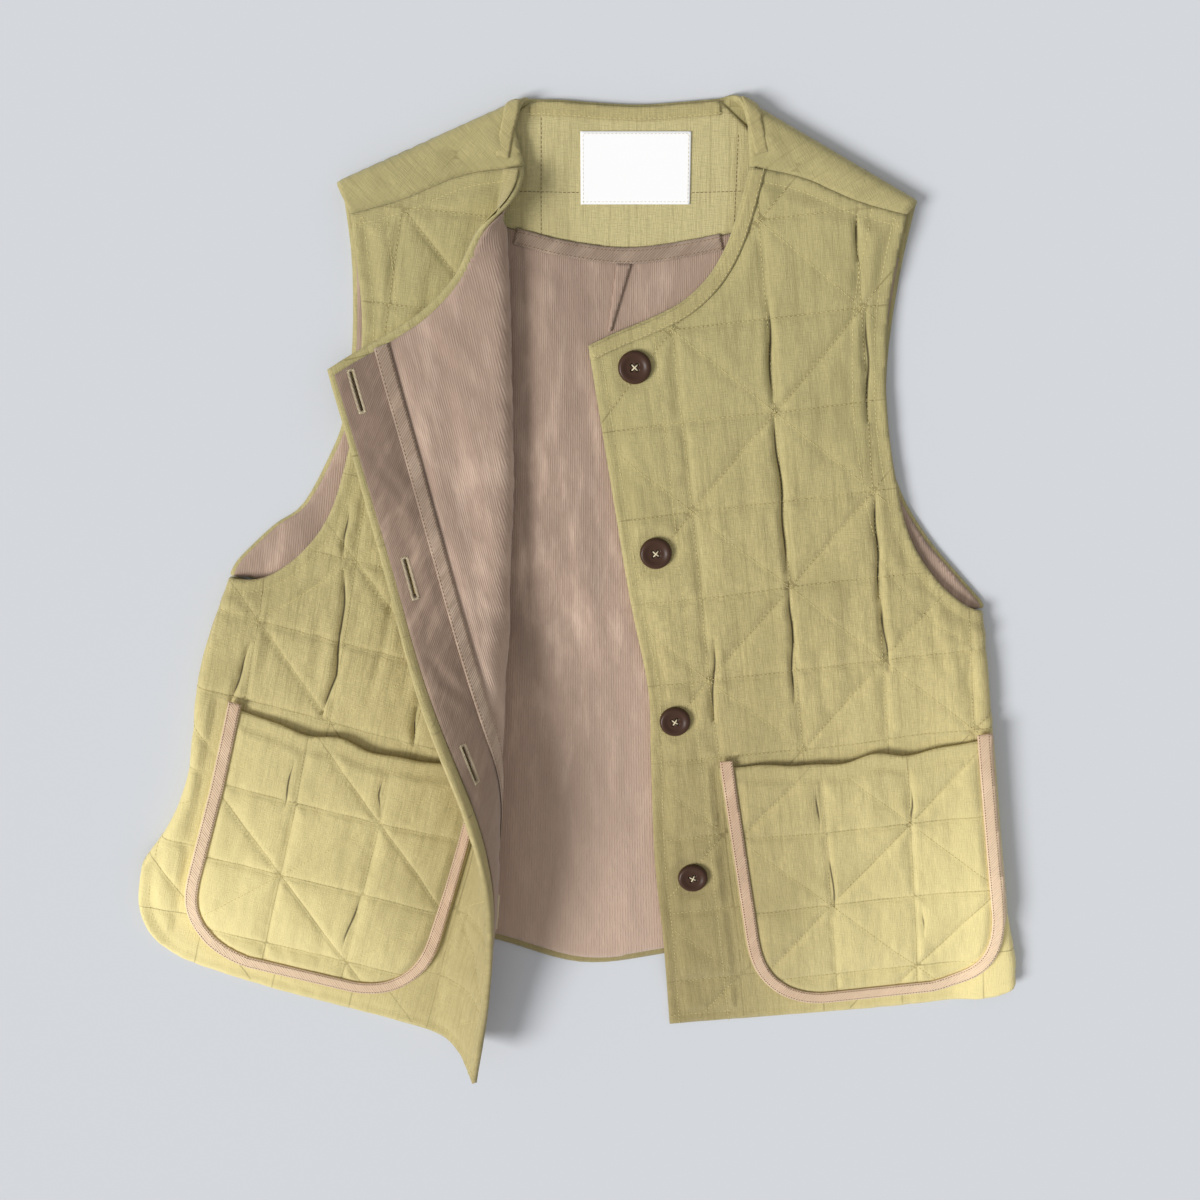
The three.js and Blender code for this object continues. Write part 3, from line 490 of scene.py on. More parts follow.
def inside(points, u, v):
    """Whether each point is within an outline."""
    crossed = np.zeros(np.shape(u), bool)
    for (ax, ay), (bx, by) in zip(points, np.roll(points, -1, axis=0)):
        if ay == by:
            continue
        spans = (ay > v) != (by > v)
        crossed ^= spans & (u < (bx - ax) * (v - ay) / (by - ay) + ax)
    return crossed


# %% Cutting a piece
def wandered(u, v, back=False):
    """Pattern places as the stitching sees them: its lines wander by a millimetre."""
    sign = -1 if back else 1
    return u + sign * 1.2 * noise(u, v, 70, 3), v + sign * 1.2 * noise(u, v, 70, 4)


def noise(u, v, size, seed):
    """Soft unevenness between -1 and 1, with bumps of about one size."""
    table = np.random.default_rng(seed).uniform(-1, 1, (64, 64))
    x, y = np.asarray(u) / size, np.asarray(v) / size
    i, j = np.floor(x).astype(int), np.floor(y).astype(int)
    s, t = smooth(x - i), smooth(y - j)
    low = table[i % 64, j % 64] * (1 - s) + table[(i + 1) % 64, j % 64] * s
    high = table[i % 64, (j + 1) % 64] * (1 - s) + table[(i + 1) % 64, (j + 1) % 64] * s
    return low * (1 - t) + high * t


def line_edges(number, i, j, parts, parity):
    """Pairs of grid points next to each other on a line of quilting."""
    here = dict(zip(zip(i.tolist(), j.tolist()), number.tolist()))
    pairs = []
    for (a, b), first in here.items():
        x, y = a % parts, b % parts
        rises = (a // parts + b // parts + parity) % 2 == 0
        if x == 0 and (a, b + 1) in here:
            pairs.append((first, here[a, b + 1]))
        if y == 0 and (a + 1, b) in here:
            pairs.append((first, here[a + 1, b]))
        if rises and x == y and (a + 1, b + 1) in here:
            pairs.append((first, here[a + 1, b + 1]))
        if not rises and x + y == parts - 1 and (a + 1, b) in here and (a, b + 1) in here:
            pairs.append((here[a + 1, b], here[a, b + 1]))
    return pairs


def fold_run(*places):
    """A sharp fold's run through its places, with a slight waver, its points 2 mm apart."""
    places = np.array(places, float)
    lengths = np.concatenate([[0], np.cumsum(np.hypot(*np.diff(places, axis=0).T))])
    at = np.linspace(0, lengths[-1], max(4, round(lengths[-1] / 2)))
    run = np.stack([np.interp(at, lengths, places[:, k]) for k in (0, 1)], axis=1)
    run[:, 0] += 0.9 * np.sin(at / 9 + places[0, 0]) * np.sin(np.pi * at / lengths[-1])
    return run


def cut(points, step, holes=(), lattice=None, folds=()):
    """The points and triangles of a flat piece, its grid laid along its quilting."""
    points = np.asarray(points, float)
    start_u, start_v, pitch, parity = lattice or (0, 0, 60, 0)
    parts = round(pitch / step)
    step = pitch / parts
    low = np.floor((points.min(axis=0) - [start_u, start_v]) / step).astype(int) - 1
    high = np.ceil((points.max(axis=0) - [start_u, start_v]) / step).astype(int) + 1
    i, j = (axis.ravel() for axis in np.meshgrid(np.arange(low[0], high[0]), np.arange(low[1], high[1])))
    u, v = start_u + i * step, start_v + j * step
    if lattice:
        u, v = wandered(u, v, True)
    loops = [points, *map(np.asarray, holes)]
    keep = inside(points, u, v) & (near_run(points, u, v, True) > 0.4 * step)
    for hole in loops[1:]:
        keep &= ~inside(hole, u, v) & (near_run(hole, u, v, True) > 0.4 * step)
    corners, edges = [], []
    for run in folds:
        keep &= near_run(run, u, v) > 1.7
        heading = np.gradient(run, axis=0)
        aside = np.stack([-heading[:, 1], heading[:, 0]], axis=1) / np.hypot(*heading.T)[:, None]
        edges += [(len(corners) + k, len(corners) + k + 1) for k in range(len(run) - 1)]
        corners += [*run, *(run + 0.9 * aside), *(run - 0.9 * aside)]
    for loop in loops:
        run = []
        for a, b in zip(loop, np.roll(loop, -1, axis=0)):
            parts_here = max(1, round(np.hypot(*(b - a)) / step))
            run += [a + (b - a) * k / parts_here for k in range(parts_here)]
        first = len(corners)
        corners += run
        edges += [(first + k, first + (k + 1) % len(run)) for k in range(len(run))]
    number = len(corners) + np.arange(np.count_nonzero(keep))
    if lattice:
        edges += line_edges(number, i[keep], j[keep], parts, parity)
    flat = [Vector((float(a), float(b))) for a, b in [*corners, *zip(u[keep], v[keep])]]
    made = delaunay_2d_cdt(flat, edges, [], 1, 1e-5)
    found, faces = np.array([tuple(p) for p in made[0]]), np.array(made[2])
    middle = found[faces].mean(axis=1)
    within = inside(points, middle[:, 0], middle[:, 1])
    for hole in loops[1:]:
        within &= ~inside(hole, middle[:, 0], middle[:, 1])
    faces = faces[within]
    a, b, c = (found[faces[:, k]] for k in range(3))
    turn = (b - a)[:, 0] * (c - a)[:, 1] - (b - a)[:, 1] * (c - a)[:, 0]
    faces = np.where(turn[:, None] > 0, faces, faces[:, ::-1])[np.abs(turn) > 1e-6]
    used, faces = np.unique(faces, return_inverse=True)
    return found[used], faces.reshape(-1, 3)


# %% Bending it
def rim_of(faces):
    """The edges that only one triangle has, each in that triangle's direction."""
    edges = np.concatenate([faces[:, [0, 1]], faces[:, [1, 2]], faces[:, [2, 0]]])
    ends = np.sort(edges, axis=1)
    _, first, count = np.unique(ends, axis=0, return_index=True, return_counts=True)
    return edges[first[count == 1]]


def mirrors(lay):
    """Whether a lay turns the cut over, as the right front's does."""
    middle = np.array([150.0, 250.0, 0.0])
    steps = [lay(*(middle + 0.1 * (np.arange(3) == k))) - lay(*middle) for k in range(3)]
    return np.dot(np.cross(steps[0], steps[1]), steps[2]) < 0


def placed(name, data):
    """A new object in the scene."""
    made = bpy.data.objects.new(name, data)
    bpy.context.scene.collection.objects.link(made)
    return made


def shell(name, flat, lay, low, high, material, round_by=0.6, marks=None):
    """A closed piece of cloth between two levels of its panel.

    marks are values for its material at each point of the cut, by name.
    """
    points, faces = flat
    u, v = points[:, 0], points[:, 1]
    rim = rim_of(faces)
    under = np.broadcast_to(low(u, v) if callable(low) else low, u.shape).astype(float)
    over = np.broadcast_to(high(u, v) if callable(high) else high, u.shape).astype(float)
    at_rim = np.zeros(len(u), bool)
    at_rim[rim.ravel()] = True
    soft = np.minimum(round_by, 0.3 * (over - under)) * at_rim
    count = len(points)
    places = np.concatenate([lay(u, v, under + soft), lay(u, v, over - soft)])
    walls = [
        np.stack([rim[:, 0], rim[:, 1], rim[:, 1] + count], axis=1),
        np.stack([rim[:, 0], rim[:, 1] + count, rim[:, 0] + count], axis=1),
    ]
    every = np.concatenate([faces + count, faces[:, ::-1], *walls])
    if mirrors(lay):
        every = every[:, ::-1]
    mesh = bpy.data.meshes.new(name)
    mesh.from_pydata(((places + shift) / 1000).tolist(), [], every.tolist())
    both = np.concatenate([points, points]) / 1000
    layer = mesh.uv_layers.new(name="pattern")
    layer.data.foreach_set("uv", both[every].astype(np.float32).ravel())
    mesh.polygons.foreach_set("use_smooth", np.ones(len(every), bool))
    for mark, value in (marks or {}).items():
        layer = mesh.attributes.new(mark, "FLOAT", "POINT")
        layer.data.foreach_set("value", np.tile(value(u, v), 2).astype(np.float32))
    mesh.materials.append(material)
    mesh.update()
    return placed(name, mesh)


def cut_area(points):
    """The area of a flat cut in square metres, and the sides of its box."""
    points = np.asarray(points)
    x, y = points[:, 0], points[:, 1]
    area = abs(np.sum(x * np.roll(y, -1) - np.roll(x, -1) * y)) / 2e6
    width, length = np.ptp(points, axis=0) / 1000
    return area, (float(width), float(length))


print("a step in the noise:", noise(np.array([0.0, 5.0]), np.array([0.0, 5.0]), 10, 1).round(2))

# %% [markdown]
# ## Quilting
#
# Stitching holds the cloth down along a lattice of squares. Each square has one diagonal,
# so every second crossing is a star. Between the lines the wadding puffs the cloth up.


# %% Quilted relief
def quilt_place(lattice, u, v):
    """Distances to lines of quilting: to any, to one running up, and to any firm one.

    The diagonals that rise with u pull firmly. The others are faint.
    """
    start_u, start_v, pitch, parity = lattice
    across, up = wandered(u, v)
    across, up = (across - start_u) / pitch, (up - start_v) / pitch
    i, j = np.floor(across), np.floor(up)
    s, t = across - i, up - j
    rises = (i + j + parity) % 2 == 0
    diagonal = np.abs(np.where(rises, s - t, s + t - 1)) / math.sqrt(2)
    upright = np.minimum(s, 1 - s)
    square = np.minimum.reduce([upright, t, 1 - t])
    firm = np.minimum(square, np.where(rises, diagonal, 1.0))
    return np.minimum(square, diagonal) * pitch, upright * pitch, firm * pitch


def creased(table, u, v):
    """Troughs and ridges from a table: both ends, how deep and how wide."""
    rise = np.zeros(np.shape(u))
    for row in table:
        a, b = np.array([row["u0"], row["v0"]]), np.array([row["u1"], row["v1"]])
        d = b - a
        t = ((u - a[0]) * d[0] + (v - a[1]) * d[1]) / (d @ d)
        off = ((u - a[0]) * -d[1] + (v - a[1]) * d[0]) / np.hypot(*d)
        off = off + 0.5 * row["wide"] * noise(t * 40, t * 0, 9, 5)
        along = smooth(t / 0.25) * smooth((1 - t) / 0.25)
        trough = -np.exp(-((off / row["wide"]) ** 2))
        ridge = 0.45 * np.exp(-(((np.abs(off) - 2.1 * row["wide"]) / row["wide"]) ** 2))
        rise += row["deep"] * along * (trough + ridge)
    return rise


left_lattice = (-2.5, 218, quilt_pitch, 0)
right_lattice = (-2.5, 218, quilt_pitch, 1)
back_lattice = (20, 318, quilt_pitch, 1)
left_pocket_lattice = (67, 31, 61, 0)
right_pocket_lattice = (67, 31, 61, 1)


def from_fold(folds, u, v):
    """Distance to the nearest sharp fold. It counts as more beside a fold's ends."""
    nearest = np.full(np.shape(u), 30.0)
    for run in folds:
        ends = np.minimum(*(np.hypot(u - end[0], v - end[1]) for end in (run[0], run[-1])))
        nearest = np.minimum(nearest, near_run(run, u, v) + 0.9 * smooth(1 - ends / 16))
    return nearest


def sunk(folds, u, v):
    """The groove of each sharp fold, and the swell of cloth beside it."""
    away = from_fold(folds, u, v)
    return 0.5 * np.exp(-(((away - 4.5) / 3) ** 2)) - 1.9 * np.exp(-((away / 1.3) ** 2))


def puffs(lattice, u, v, seed):
    """Soft pillows between sharp grooves, with small gathers along the stitching.

    Heights, reaches and the sizes of bumps are in millimetres.
    """
    distance, upright, firm = quilt_place(lattice, u, v)
    rise = 1.0 * (1 - np.exp(-firm / 7)) + 0.35 * (1 - np.exp(-distance / 6))
    rise += 0.65 * (1 - np.exp(-firm / 1.6)) + 0.3 * (1 - np.exp(-distance / 1.6))
    rise += 0.9 * np.exp(-upright / 9) * noise(u * 1.4, v, 15, seed + 1) * (1 - np.exp(-distance / 3))
    gathers = np.exp(-distance / 6) * (1 - np.exp(-distance / 1.2))
    rise += 0.7 * gathers * noise(u, v, 5.5, seed + 2)
    rise += 0.28 * noise(u * 1.8, v * 0.45, 6, seed + 3)
    rise += 0.45 * noise(u * 2.2, v * 0.32, 20, seed + 5) * (1 - np.exp(-distance / 5))
    return rise + 0.6 * noise(u * 1.5, v * 0.5, 22, seed + 4)


def lining_folds(u, v, seed):
    """Soft long folds of a thin lining that lies loose, from 0 up."""
    long_folds = noise(u, v * 0.14, 15, seed) + 0.5 * noise(u, v * 0.3, 7, seed + 1)
    return 0.9 + 0.75 * long_folds + 0.18 * noise(u, v, 6, seed + 2)


def under_pocket(u, v):
    return (u > pocket_left - 6) & (u < pocket_right + 8) & (v < pocket_top + 3)


armhole_run = curve(front_armhole, 48)


def front_relief(points, lattice, creases, folds, seed, fold):
    """The relief of a front's outer face over its plain thickness."""

    def relief(u, v):
        edge = near_run(points, u, v, True)
        inward = smooth((edge - 8) / 9)
        rise = puffs(lattice, u, v, seed) * inward
        rise += (creased(creases, u, v) + sunk(folds, u, v)) * smooth((edge - 6) / 8)
        hem = -0.6 * np.exp(-(((edge - hem_stitching) / 1.7) ** 2)) + 0.4 * noise(u, v, 7, seed + 2)
        rise += hem * smooth((16 - edge) / 5)
        seam = near_run(armhole_run, u, v) - armhole_stitching
        rise -= 0.5 * np.exp(-((seam / 1.6) ** 2))
        if seed == left_seed:
            holds = np.min([np.hypot(u - button_across, v - row) for row in button_rows], axis=0)
            rise = rise * smooth((holds - 13) / 6)
            rise -= 0.6 * np.exp(-(((u - placket_width) / 1.6) ** 2)) * inward
        rise = np.where(under_pocket(u, v), np.minimum(rise, 0.2), rise)
        return rise * smooth(1 - (u - read(fold, "v", "u", v)) / 7)

    return relief


def painted_shade_distances(lattice, folds=(), shade_offset=0.0):
    """Distances in mm to the firm quilting lines and the sharp folds, along which the linen's material
    paints shade dark. A distance added to the first makes its painted shade fainter.
    """
    return {
        "quilt": lambda u, v: quilt_place(lattice, u, v)[2] + shade_offset,
        "fold": lambda u, v: from_fold(folds, u, v),
    }


left_seed, right_seed, back_seed = 11, 31, 51
print("pillow", puffs(left_lattice, np.array([30.0, 57.5]), np.array([50.0, 50.0]), left_seed).round(2))

# %% [markdown]
# ## Materials
#
# Every cloth reads its own UV map, which holds pattern coordinates in metres. Its tint
# also depends on where it lies, because the photograph's light is uneven.

# %% Material helpers
def linear(*colour):
    """A colour as a screen shows it, 0 to 255, as light."""
    share = np.array(colour) / 255
    light = np.where(share <= 0.04045, share / 12.92, ((share + 0.055) / 1.055) ** 2.4)
    return (*light.tolist(), 1.0)


def new_material(name, roughness, sheen=0.0):
    material = bpy.data.materials.new(name)
    material.use_nodes = True
    surface = material.node_tree.nodes["Principled BSDF"]
    surface.inputs["Roughness"].default_value = roughness
    surface.inputs["Sheen Weight"].default_value = sheen
    surface.inputs["Specular IOR Level"].default_value = 0.25
    return material, material.node_tree, surface


def add_node(tree, kind, inputs, **settings):
    """A shader node, its sockets by name or number set to values or other sockets."""
    node = tree.nodes.new(kind)
    for key, value in settings.items():
        setattr(node, key, value)
    for key, value in inputs.items():
        if isinstance(value, bpy.types.NodeSocket):
            tree.links.new(value, node.inputs[key])
        else:
            node.inputs[key].default_value = value
    return node


def pattern_noise(tree, scale, detail=2.0, turn=0.0):
    """Noise over the pattern, with a scale across and a scale along, in bumps a metre."""
    place = add_node(tree, "ShaderNodeUVMap", {}, uv_map="pattern")
    turned = add_node(
        tree, "ShaderNodeMapping", {"Vector": place.outputs["UV"], "Rotation": (0, 0, turn)}
    )
    sized = add_node(
        tree, "ShaderNodeMapping", {"Vector": turned.outputs["Vector"], "Scale": (*scale, 1)}
    )
    made = add_node(
        tree,
        "ShaderNodeTexNoise",
        {"Vector": sized.outputs["Vector"], "Scale": 1.0, "Detail": detail, "Roughness": 0.55},
        noise_dimensions="2D",
    )
    return made.outputs["Fac"]


def stretched(tree, value, low, high):
    """A value read from low to high, as 0 to 1."""
    made = add_node(
        tree, "ShaderNodeMapRange", {"Value": value, "From Min": low, "From Max": high}
    )
    return made.outputs["Result"]


def blend_of(tree, share, first, second):
    made = add_node(tree, "ShaderNodeMix", {}, data_type="RGBA")
    for socket, value in ((made.inputs[0], share), (made.inputs[6], first), (made.inputs[7], second)):
        if isinstance(value, bpy.types.NodeSocket):
            tree.links.new(value, socket)
        else:
            socket.default_value = value
    return made.outputs[2]


def sum_of(tree, first, second, share):
    made = add_node(
        tree, "ShaderNodeMath", {0: second, 1: share, 2: first}, operation="MULTIPLY_ADD"
    )
    return made.outputs["Value"]


def roughen(tree, surface, height, distance):
    bump = add_node(
        tree, "ShaderNodeBump", {"Height": height, "Distance": distance, "Strength": 1.0}
    )
    tree.links.new(bump.outputs["Normal"], surface.inputs["Normal"])


# %% Linen
def mark(tree, name):
    return add_node(tree, "ShaderNodeAttribute", {}, attribute_name=name).outputs["Fac"]


def product(tree, first, second):
    made = add_node(tree, "ShaderNodeMath", {0: first, 1: second}, operation="MULTIPLY")
    return made.outputs["Value"]


def spot(tree):
    """Where a point is on the surface, in metres, by axis."""
    place = add_node(tree, "ShaderNodeTexCoord", {})
    return add_node(tree, "ShaderNodeSeparateXYZ", {"Vector": place.outputs["Object"]}).outputs


def daylight(tree, colour, bright, dim):
    """The window's uneven light: strong low down at both sides, weak low in the middle."""
    at = spot(tree)
    centred = add_node(tree, "ShaderNodeMath", {0: at["X"], 1: 0.02}, operation="SUBTRACT")
    outward = add_node(tree, "ShaderNodeMath", {0: centred.outputs["Value"]}, operation="ABSOLUTE")
    low = stretched(tree, at["Y"], 0.02, -0.2)
    sides = product(tree, low, stretched(tree, outward.outputs["Value"], 0.08, 0.31))
    middle = product(tree, low, stretched(tree, outward.outputs["Value"], 0.17, 0.05))
    colour = blend_of(tree, product(tree, sides, 0.9), colour, bright)
    return blend_of(tree, product(tree, middle, 0.6), colour, dim)


def linen(name, main, warp, weft, dark, with_painted_shade):
    """Plain woven linen: slubby yellow warps along, greenish wefts across. With painted shade on, it is
    also darker and greener towards the top, with painted shade along its firm quilting lines and its sharp
    folds.
    """
    material, tree, surface = new_material(name, 0.85, 0.2)
    along = pattern_noise(tree, (1700, 120), 3)
    across = pattern_noise(tree, (150, 1600), 3)
    slubs = pattern_noise(tree, (420, 16), 3)
    patches = pattern_noise(tree, (26, 14), 3)
    colour = blend_of(tree, product(tree, stretched(tree, along, 0.42, 0.62), 0.75), main, warp)
    colour = blend_of(tree, product(tree, stretched(tree, across, 0.48, 0.68), 0.45), colour, weft)
    colour = blend_of(tree, product(tree, stretched(tree, slubs, 0.5, 0.72), 0.6), colour, dark)
    colour = blend_of(tree, product(tree, stretched(tree, patches, 0.5, 0.8), 0.6), colour, dark)
    colour = daylight(tree, colour, linear(255, 238, 170), linear(136, 120, 78))
    if with_painted_shade:
        # Painted shade: darker and greener towards the top.
        height = spot(tree)["Y"]
        colour = blend_of(
            tree, product(tree, stretched(tree, height, -0.02, 0.2), 0.4), colour, linear(164, 158, 110)
        )
        # Painted shade in the grooves of the firm quilting lines, broken up in patches.
        line = stretched(tree, mark(tree, "quilt"), 0.75, 0.1)
        patchy_quilt_shade = product(tree, line, stretched(tree, patches, 0.3, 0.6))
        colour = blend_of(tree, product(tree, patchy_quilt_shade, 0.5), colour, linear(104, 90, 52))
        # Painted shade, nearly black, in the sharp folds.
        fold = product(tree, stretched(tree, mark(tree, "fold"), 1.0, 0.15), 0.88)
        colour = blend_of(tree, fold, colour, linear(52, 42, 26))
    tree.links.new(colour, surface.inputs["Base Color"])
    threads = sum_of(tree, along, across, 1.0)
    roughen(tree, surface, threads, 0.00032)
    return material


linen_tones = (
    linear(192, 177, 124), linear(214, 198, 140), linear(166, 158, 114), linear(166, 153, 104)
)
quilted_linen = linen("quilted_linen", *linen_tones, with_painted_shade=True)
plain_linen = linen(
    "plain_linen",
    linear(202, 190, 138), linear(218, 204, 150), linear(176, 168, 124), linear(176, 164, 116),
    with_painted_shade=False,
)
linen_band = linen(
    "linen_band",
    linear(184, 171, 120), linear(202, 188, 132), linear(164, 156, 112), linear(166, 154, 106),
    with_painted_shade=False,
)


# %% Needlecord, tape and the rest
def ribbed(name, pitch, turn, valley, ridge, faded, depth):
    """Cloth with ribs: a wave across the pattern, worn paler in patches, with painted shade towards the
    top and painted light towards the bottom.
    """
    material, tree, surface = new_material(name, 0.9, 0.35)
    place = add_node(tree, "ShaderNodeUVMap", {}, uv_map="pattern")
    turned = add_node(
        tree, "ShaderNodeMapping", {"Vector": place.outputs["UV"], "Rotation": (0, 0, turn)}
    )
    wave = add_node(
        tree,
        "ShaderNodeTexWave",
        {"Vector": turned.outputs["Vector"], "Scale": math.pi / (10 * pitch), "Distortion": 0.0},
        wave_type="BANDS",
        bands_direction="X",
    )
    nap = pattern_noise(tree, (420, 110), 4, turn)
    wear = pattern_noise(tree, (90, 22), 3, turn)
    patches = pattern_noise(tree, (24, 13), 4)
    ribs = product(tree, wave.outputs["Fac"], stretched(tree, nap, 0.3, 0.6))
    colour = blend_of(tree, ribs, valley, ridge)
    colour = blend_of(tree, stretched(tree, wear, 0.48, 0.75), colour, faded)
    # Darker smudges in random patches; the same colour is the painted shade towards the top.
    smudge_and_shade = tuple(0.72 * part for part in valley[:3]) + (1.0,)
    colour = blend_of(tree, product(tree, stretched(tree, patches, 0.48, 0.75), 0.7), colour, smudge_and_shade)
    # Painted shade, darker towards the top, and painted light, brighter towards the bottom.
    height = spot(tree)["Y"]
    shade_above = product(tree, stretched(tree, height, 0.05, 0.2), 0.45)
    colour = blend_of(tree, shade_above, colour, smudge_and_shade)
    light_below = product(tree, stretched(tree, height, 0.02, -0.2), 0.5)
    colour = blend_of(tree, light_below, colour, ridge)
    colour = daylight(tree, colour, linear(255, 226, 190), ridge)
    tree.links.new(colour, surface.inputs["Base Color"])
    roughen(tree, surface, ribs, depth)
    return material


cord_lining = ribbed(
    "cord_lining", 0.0012, 0.0,
    linear(176, 150, 132), linear(200, 173, 153), linear(214, 187, 166), 0.0002,
)
cord_facing = ribbed(
    "cord_facing", 0.0012, math.radians(38),
    linear(142, 119, 103), linear(168, 143, 124), linear(182, 156, 136), 0.0002,
)
bias_tape = ribbed(
    "bias_tape", 0.0015, math.radians(45),
    linear(184, 153, 126), linear(216, 184, 154), linear(226, 196, 166), 0.0003,
)
seam_tape = ribbed(
    "seam_tape", 0.0013, math.radians(45),
    linear(160, 137, 118), linear(198, 174, 152), linear(206, 182, 160), 0.0003,
)


def plain(name, colour, roughness):
    material, _, surface = new_material(name, roughness)
    surface.inputs["Base Color"].default_value = colour
    return material


blank_label = plain("blank_label", linear(255, 255, 255), 0.8)
cream_thread = plain("cream_thread", linear(226, 214, 180), 0.7)
linen_thread = plain("linen_thread", linear(222, 208, 150), 0.7)
brown_thread = plain("brown_thread", linear(150, 122, 98), 0.7)
horn_button = plain("horn_button", linear(70, 47, 35), 0.36)
dark_thread = plain("dark_thread", linear(96, 74, 54), 0.8)
print("materials", len(bpy.data.materials))

# %% [markdown]
# ## The pieces

# %% Creases, placed one by one
left_creases = rows(
    "u0 v0 u1 v1 deep wide",
    (117, 520, 119, 455, 0.9, 2.2), (118, 424, 117, 326, 1.0, 2.2),
    (176, 508, 178, 462, 0.9, 2.0), (178, 348, 177, 286, 1.0, 2.2),
    (100, 470, 92, 380, 0.6, 5.0), (146, 520, 150, 400, 0.6, 6.0),
    (80, 330, 74, 250, 0.7, 5.0), (160, 350, 152, 262, 0.7, 5.0),
    (205, 330, 222, 250, 0.9, 4.0), (225, 300, 236, 238, 0.8, 3.5),
    (130, 300, 138, 228, 0.6, 4.0), (60, 200, 50, 60, 0.5, 5.0),
    (24, 330, 22, 270, 0.5, 4.0), (20, 180, 26, 40, 0.5, 5.0),
)
right_creases = rows(
    "u0 v0 u1 v1 deep wide",
    (148, 334, 152, 238, 1.2, 2.6), (122, 330, 117, 236, 1.0, 2.4),
    (196, 300, 190, 236, 0.9, 3.0), (166, 330, 176, 262, 0.8, 4.0),
    (230, 290, 226, 236, 0.8, 3.0), (136, 300, 128, 250, 0.7, 4.0),
    (250, 200, 262, 70, 0.8, 5.0), (90, 130, 70, 10, 0.8, 6.0),
    (60, 180, 40, 40, 0.9, 7.0), (40, 90, 22, -10, 0.7, 5.0),
    (150, 560, 160, 470, 0.8, 4.0), (126, 520, 130, 440, 0.8, 4.0),
)
# Sharp folds, where the cloth closes on itself along its quilting. The linen's material paints shade
# nearly black along them.
left_folds = [
    fold_run((177, 580), (176, 566), (177, 548)),
    fold_run((119, 530), (118, 504), (116, 466)),
    fold_run((116, 454), (117, 413), (117, 371), (116, 350)),
    fold_run((180, 516), (179, 484), (177, 445)),
    fold_run((179, 396), (178, 360), (177, 323)),
    fold_run((179, 321), (180, 292), (181, 271)),
    fold_run((117, 340), (116, 300), (114, 255)),
    fold_run((63, 306), (57, 247)),
]
right_folds = [
    fold_run((185, 329), (182, 309), (180, 288), (180, 268), (179, 253), (181, 237), (183, 222)),
    fold_run((240, 260), (243, 238), (247, 213)),
    fold_run((187, 375), (187, 359), (187, 340)),
    fold_run((120, 245), (118, 229), (117, 217)),
]
left_pocket_folds = [
    fold_run((123, 191), (124, 174), (124, 155)),
    fold_run((130, 137), (130, 108), (131, 84)),
    fold_run((190, 183), (191, 166), (190, 147)),
    fold_run((194, 83), (194, 59)),
]
right_pocket_folds = [
    fold_run((195, 186), (196, 166), (197, 143)),
    fold_run((132, 192), (132, 176), (129, 158)),
    fold_run((129, 92), (131, 69), (133, 43)),
]
print("creases", len(left_creases) + len(right_creases))

# %% Fronts
declared = []


def hand_over(piece, node, slot, points, held, rests_on, strip_of=None):
    """Puts a piece on the root body in place of its imported part, hides that part, and notes the flat
    size it was cut to.
    """
    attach(piece, "root")
    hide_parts(node)
    area, flat = cut_area(points)
    if strip_of is not None:
        run = np.asarray(strip_of, float)
        length = float(np.sum(np.hypot(*np.diff(run, axis=0).T))) / 1000
        flat = (max(0.01, area / length), length)
    declared.append((piece, flat, held, rests_on, area))
    return piece


def buttonhole(row):
    half = buttonhole_length / 2
    u = buttonhole_across
    left, right = u - buttonhole_slit / 2, u + buttonhole_slit / 2
    return [(left, row - half), (right, row - half), (right, row + half), (left, row + half)]


holes = [buttonhole(row) for row in button_rows]
left_relief = front_relief(left_outline, left_lattice, left_creases, left_folds, left_seed, left_fold)
right_relief = front_relief(
    right_outline, right_lattice, right_creases, right_folds, right_seed, right_fold
)


def left_face(u, v):
    return front_wall + left_relief(u, v)


def right_face(u, v):
    return right_stack + right_relief(u, v)


def turned_width(v):
    """How wide the linen shows along the free edge: wider towards the hem."""
    return read(rows("v wide", (0, 9.5), (120, 9), (300, 7.5), (515, 5.5)), "v", "wide", v)


def right_turned_edge(u, v):
    """The linen's turned edge wraps over the lining along the free edge."""
    edge = near_run(right_outline, u, v, True)
    return right_face_low - 1.6 * smooth((turned_width(v) - edge) / 1.5) * smooth((108 - u) / 12)


front_grid = 2.5
back_grid = 3.5
lining_grid = 3.0
pocket_grid = 2.2
trim_grid = 1.6
left_front = shell(
    "left_front_quilted",
    cut(left_outline, front_grid, lattice=left_lattice, folds=left_folds),
    lay_left, 0.0, left_face, quilted_linen,
    marks=painted_shade_distances(left_lattice, left_folds),
)
hand_over(left_front, "left_front", "quilted_linen", left_outline, "laid", ["back_lining_cord"])
right_front = shell(
    "right_front_quilted",
    cut(right_outline, front_grid, holes, right_lattice, right_folds),
    lay_right, right_turned_edge, right_face, quilted_linen,
    marks=painted_shade_distances(right_lattice, right_folds),
)
hand_over(right_front, "right_front", "quilted_linen", right_outline, "folded", ["back_lining_cord"])
for piece in (left_front, right_front):
    low, high = np.array(piece.bound_box).min(axis=0), np.array(piece.bound_box).max(axis=0)
    print(piece.name, (1000 * low).round(1), (1000 * high).round(1), len(piece.data.polygons))

# %% Inside of the right front
neck_run = curve(front_neck, 96)


def facing_outline():
    top = neck_run[neck_run[:, 0] < facing_width]
    top = np.stack([np.maximum(top[:, 0], 5.5), top[:, 1] - 5.5], axis=1)
    heights = np.linspace(facing_foot, 508, 60)
    side = np.stack([turned_width(heights), heights], axis=1)
    return outline(side, top, [(facing_width, facing_foot + 8)])


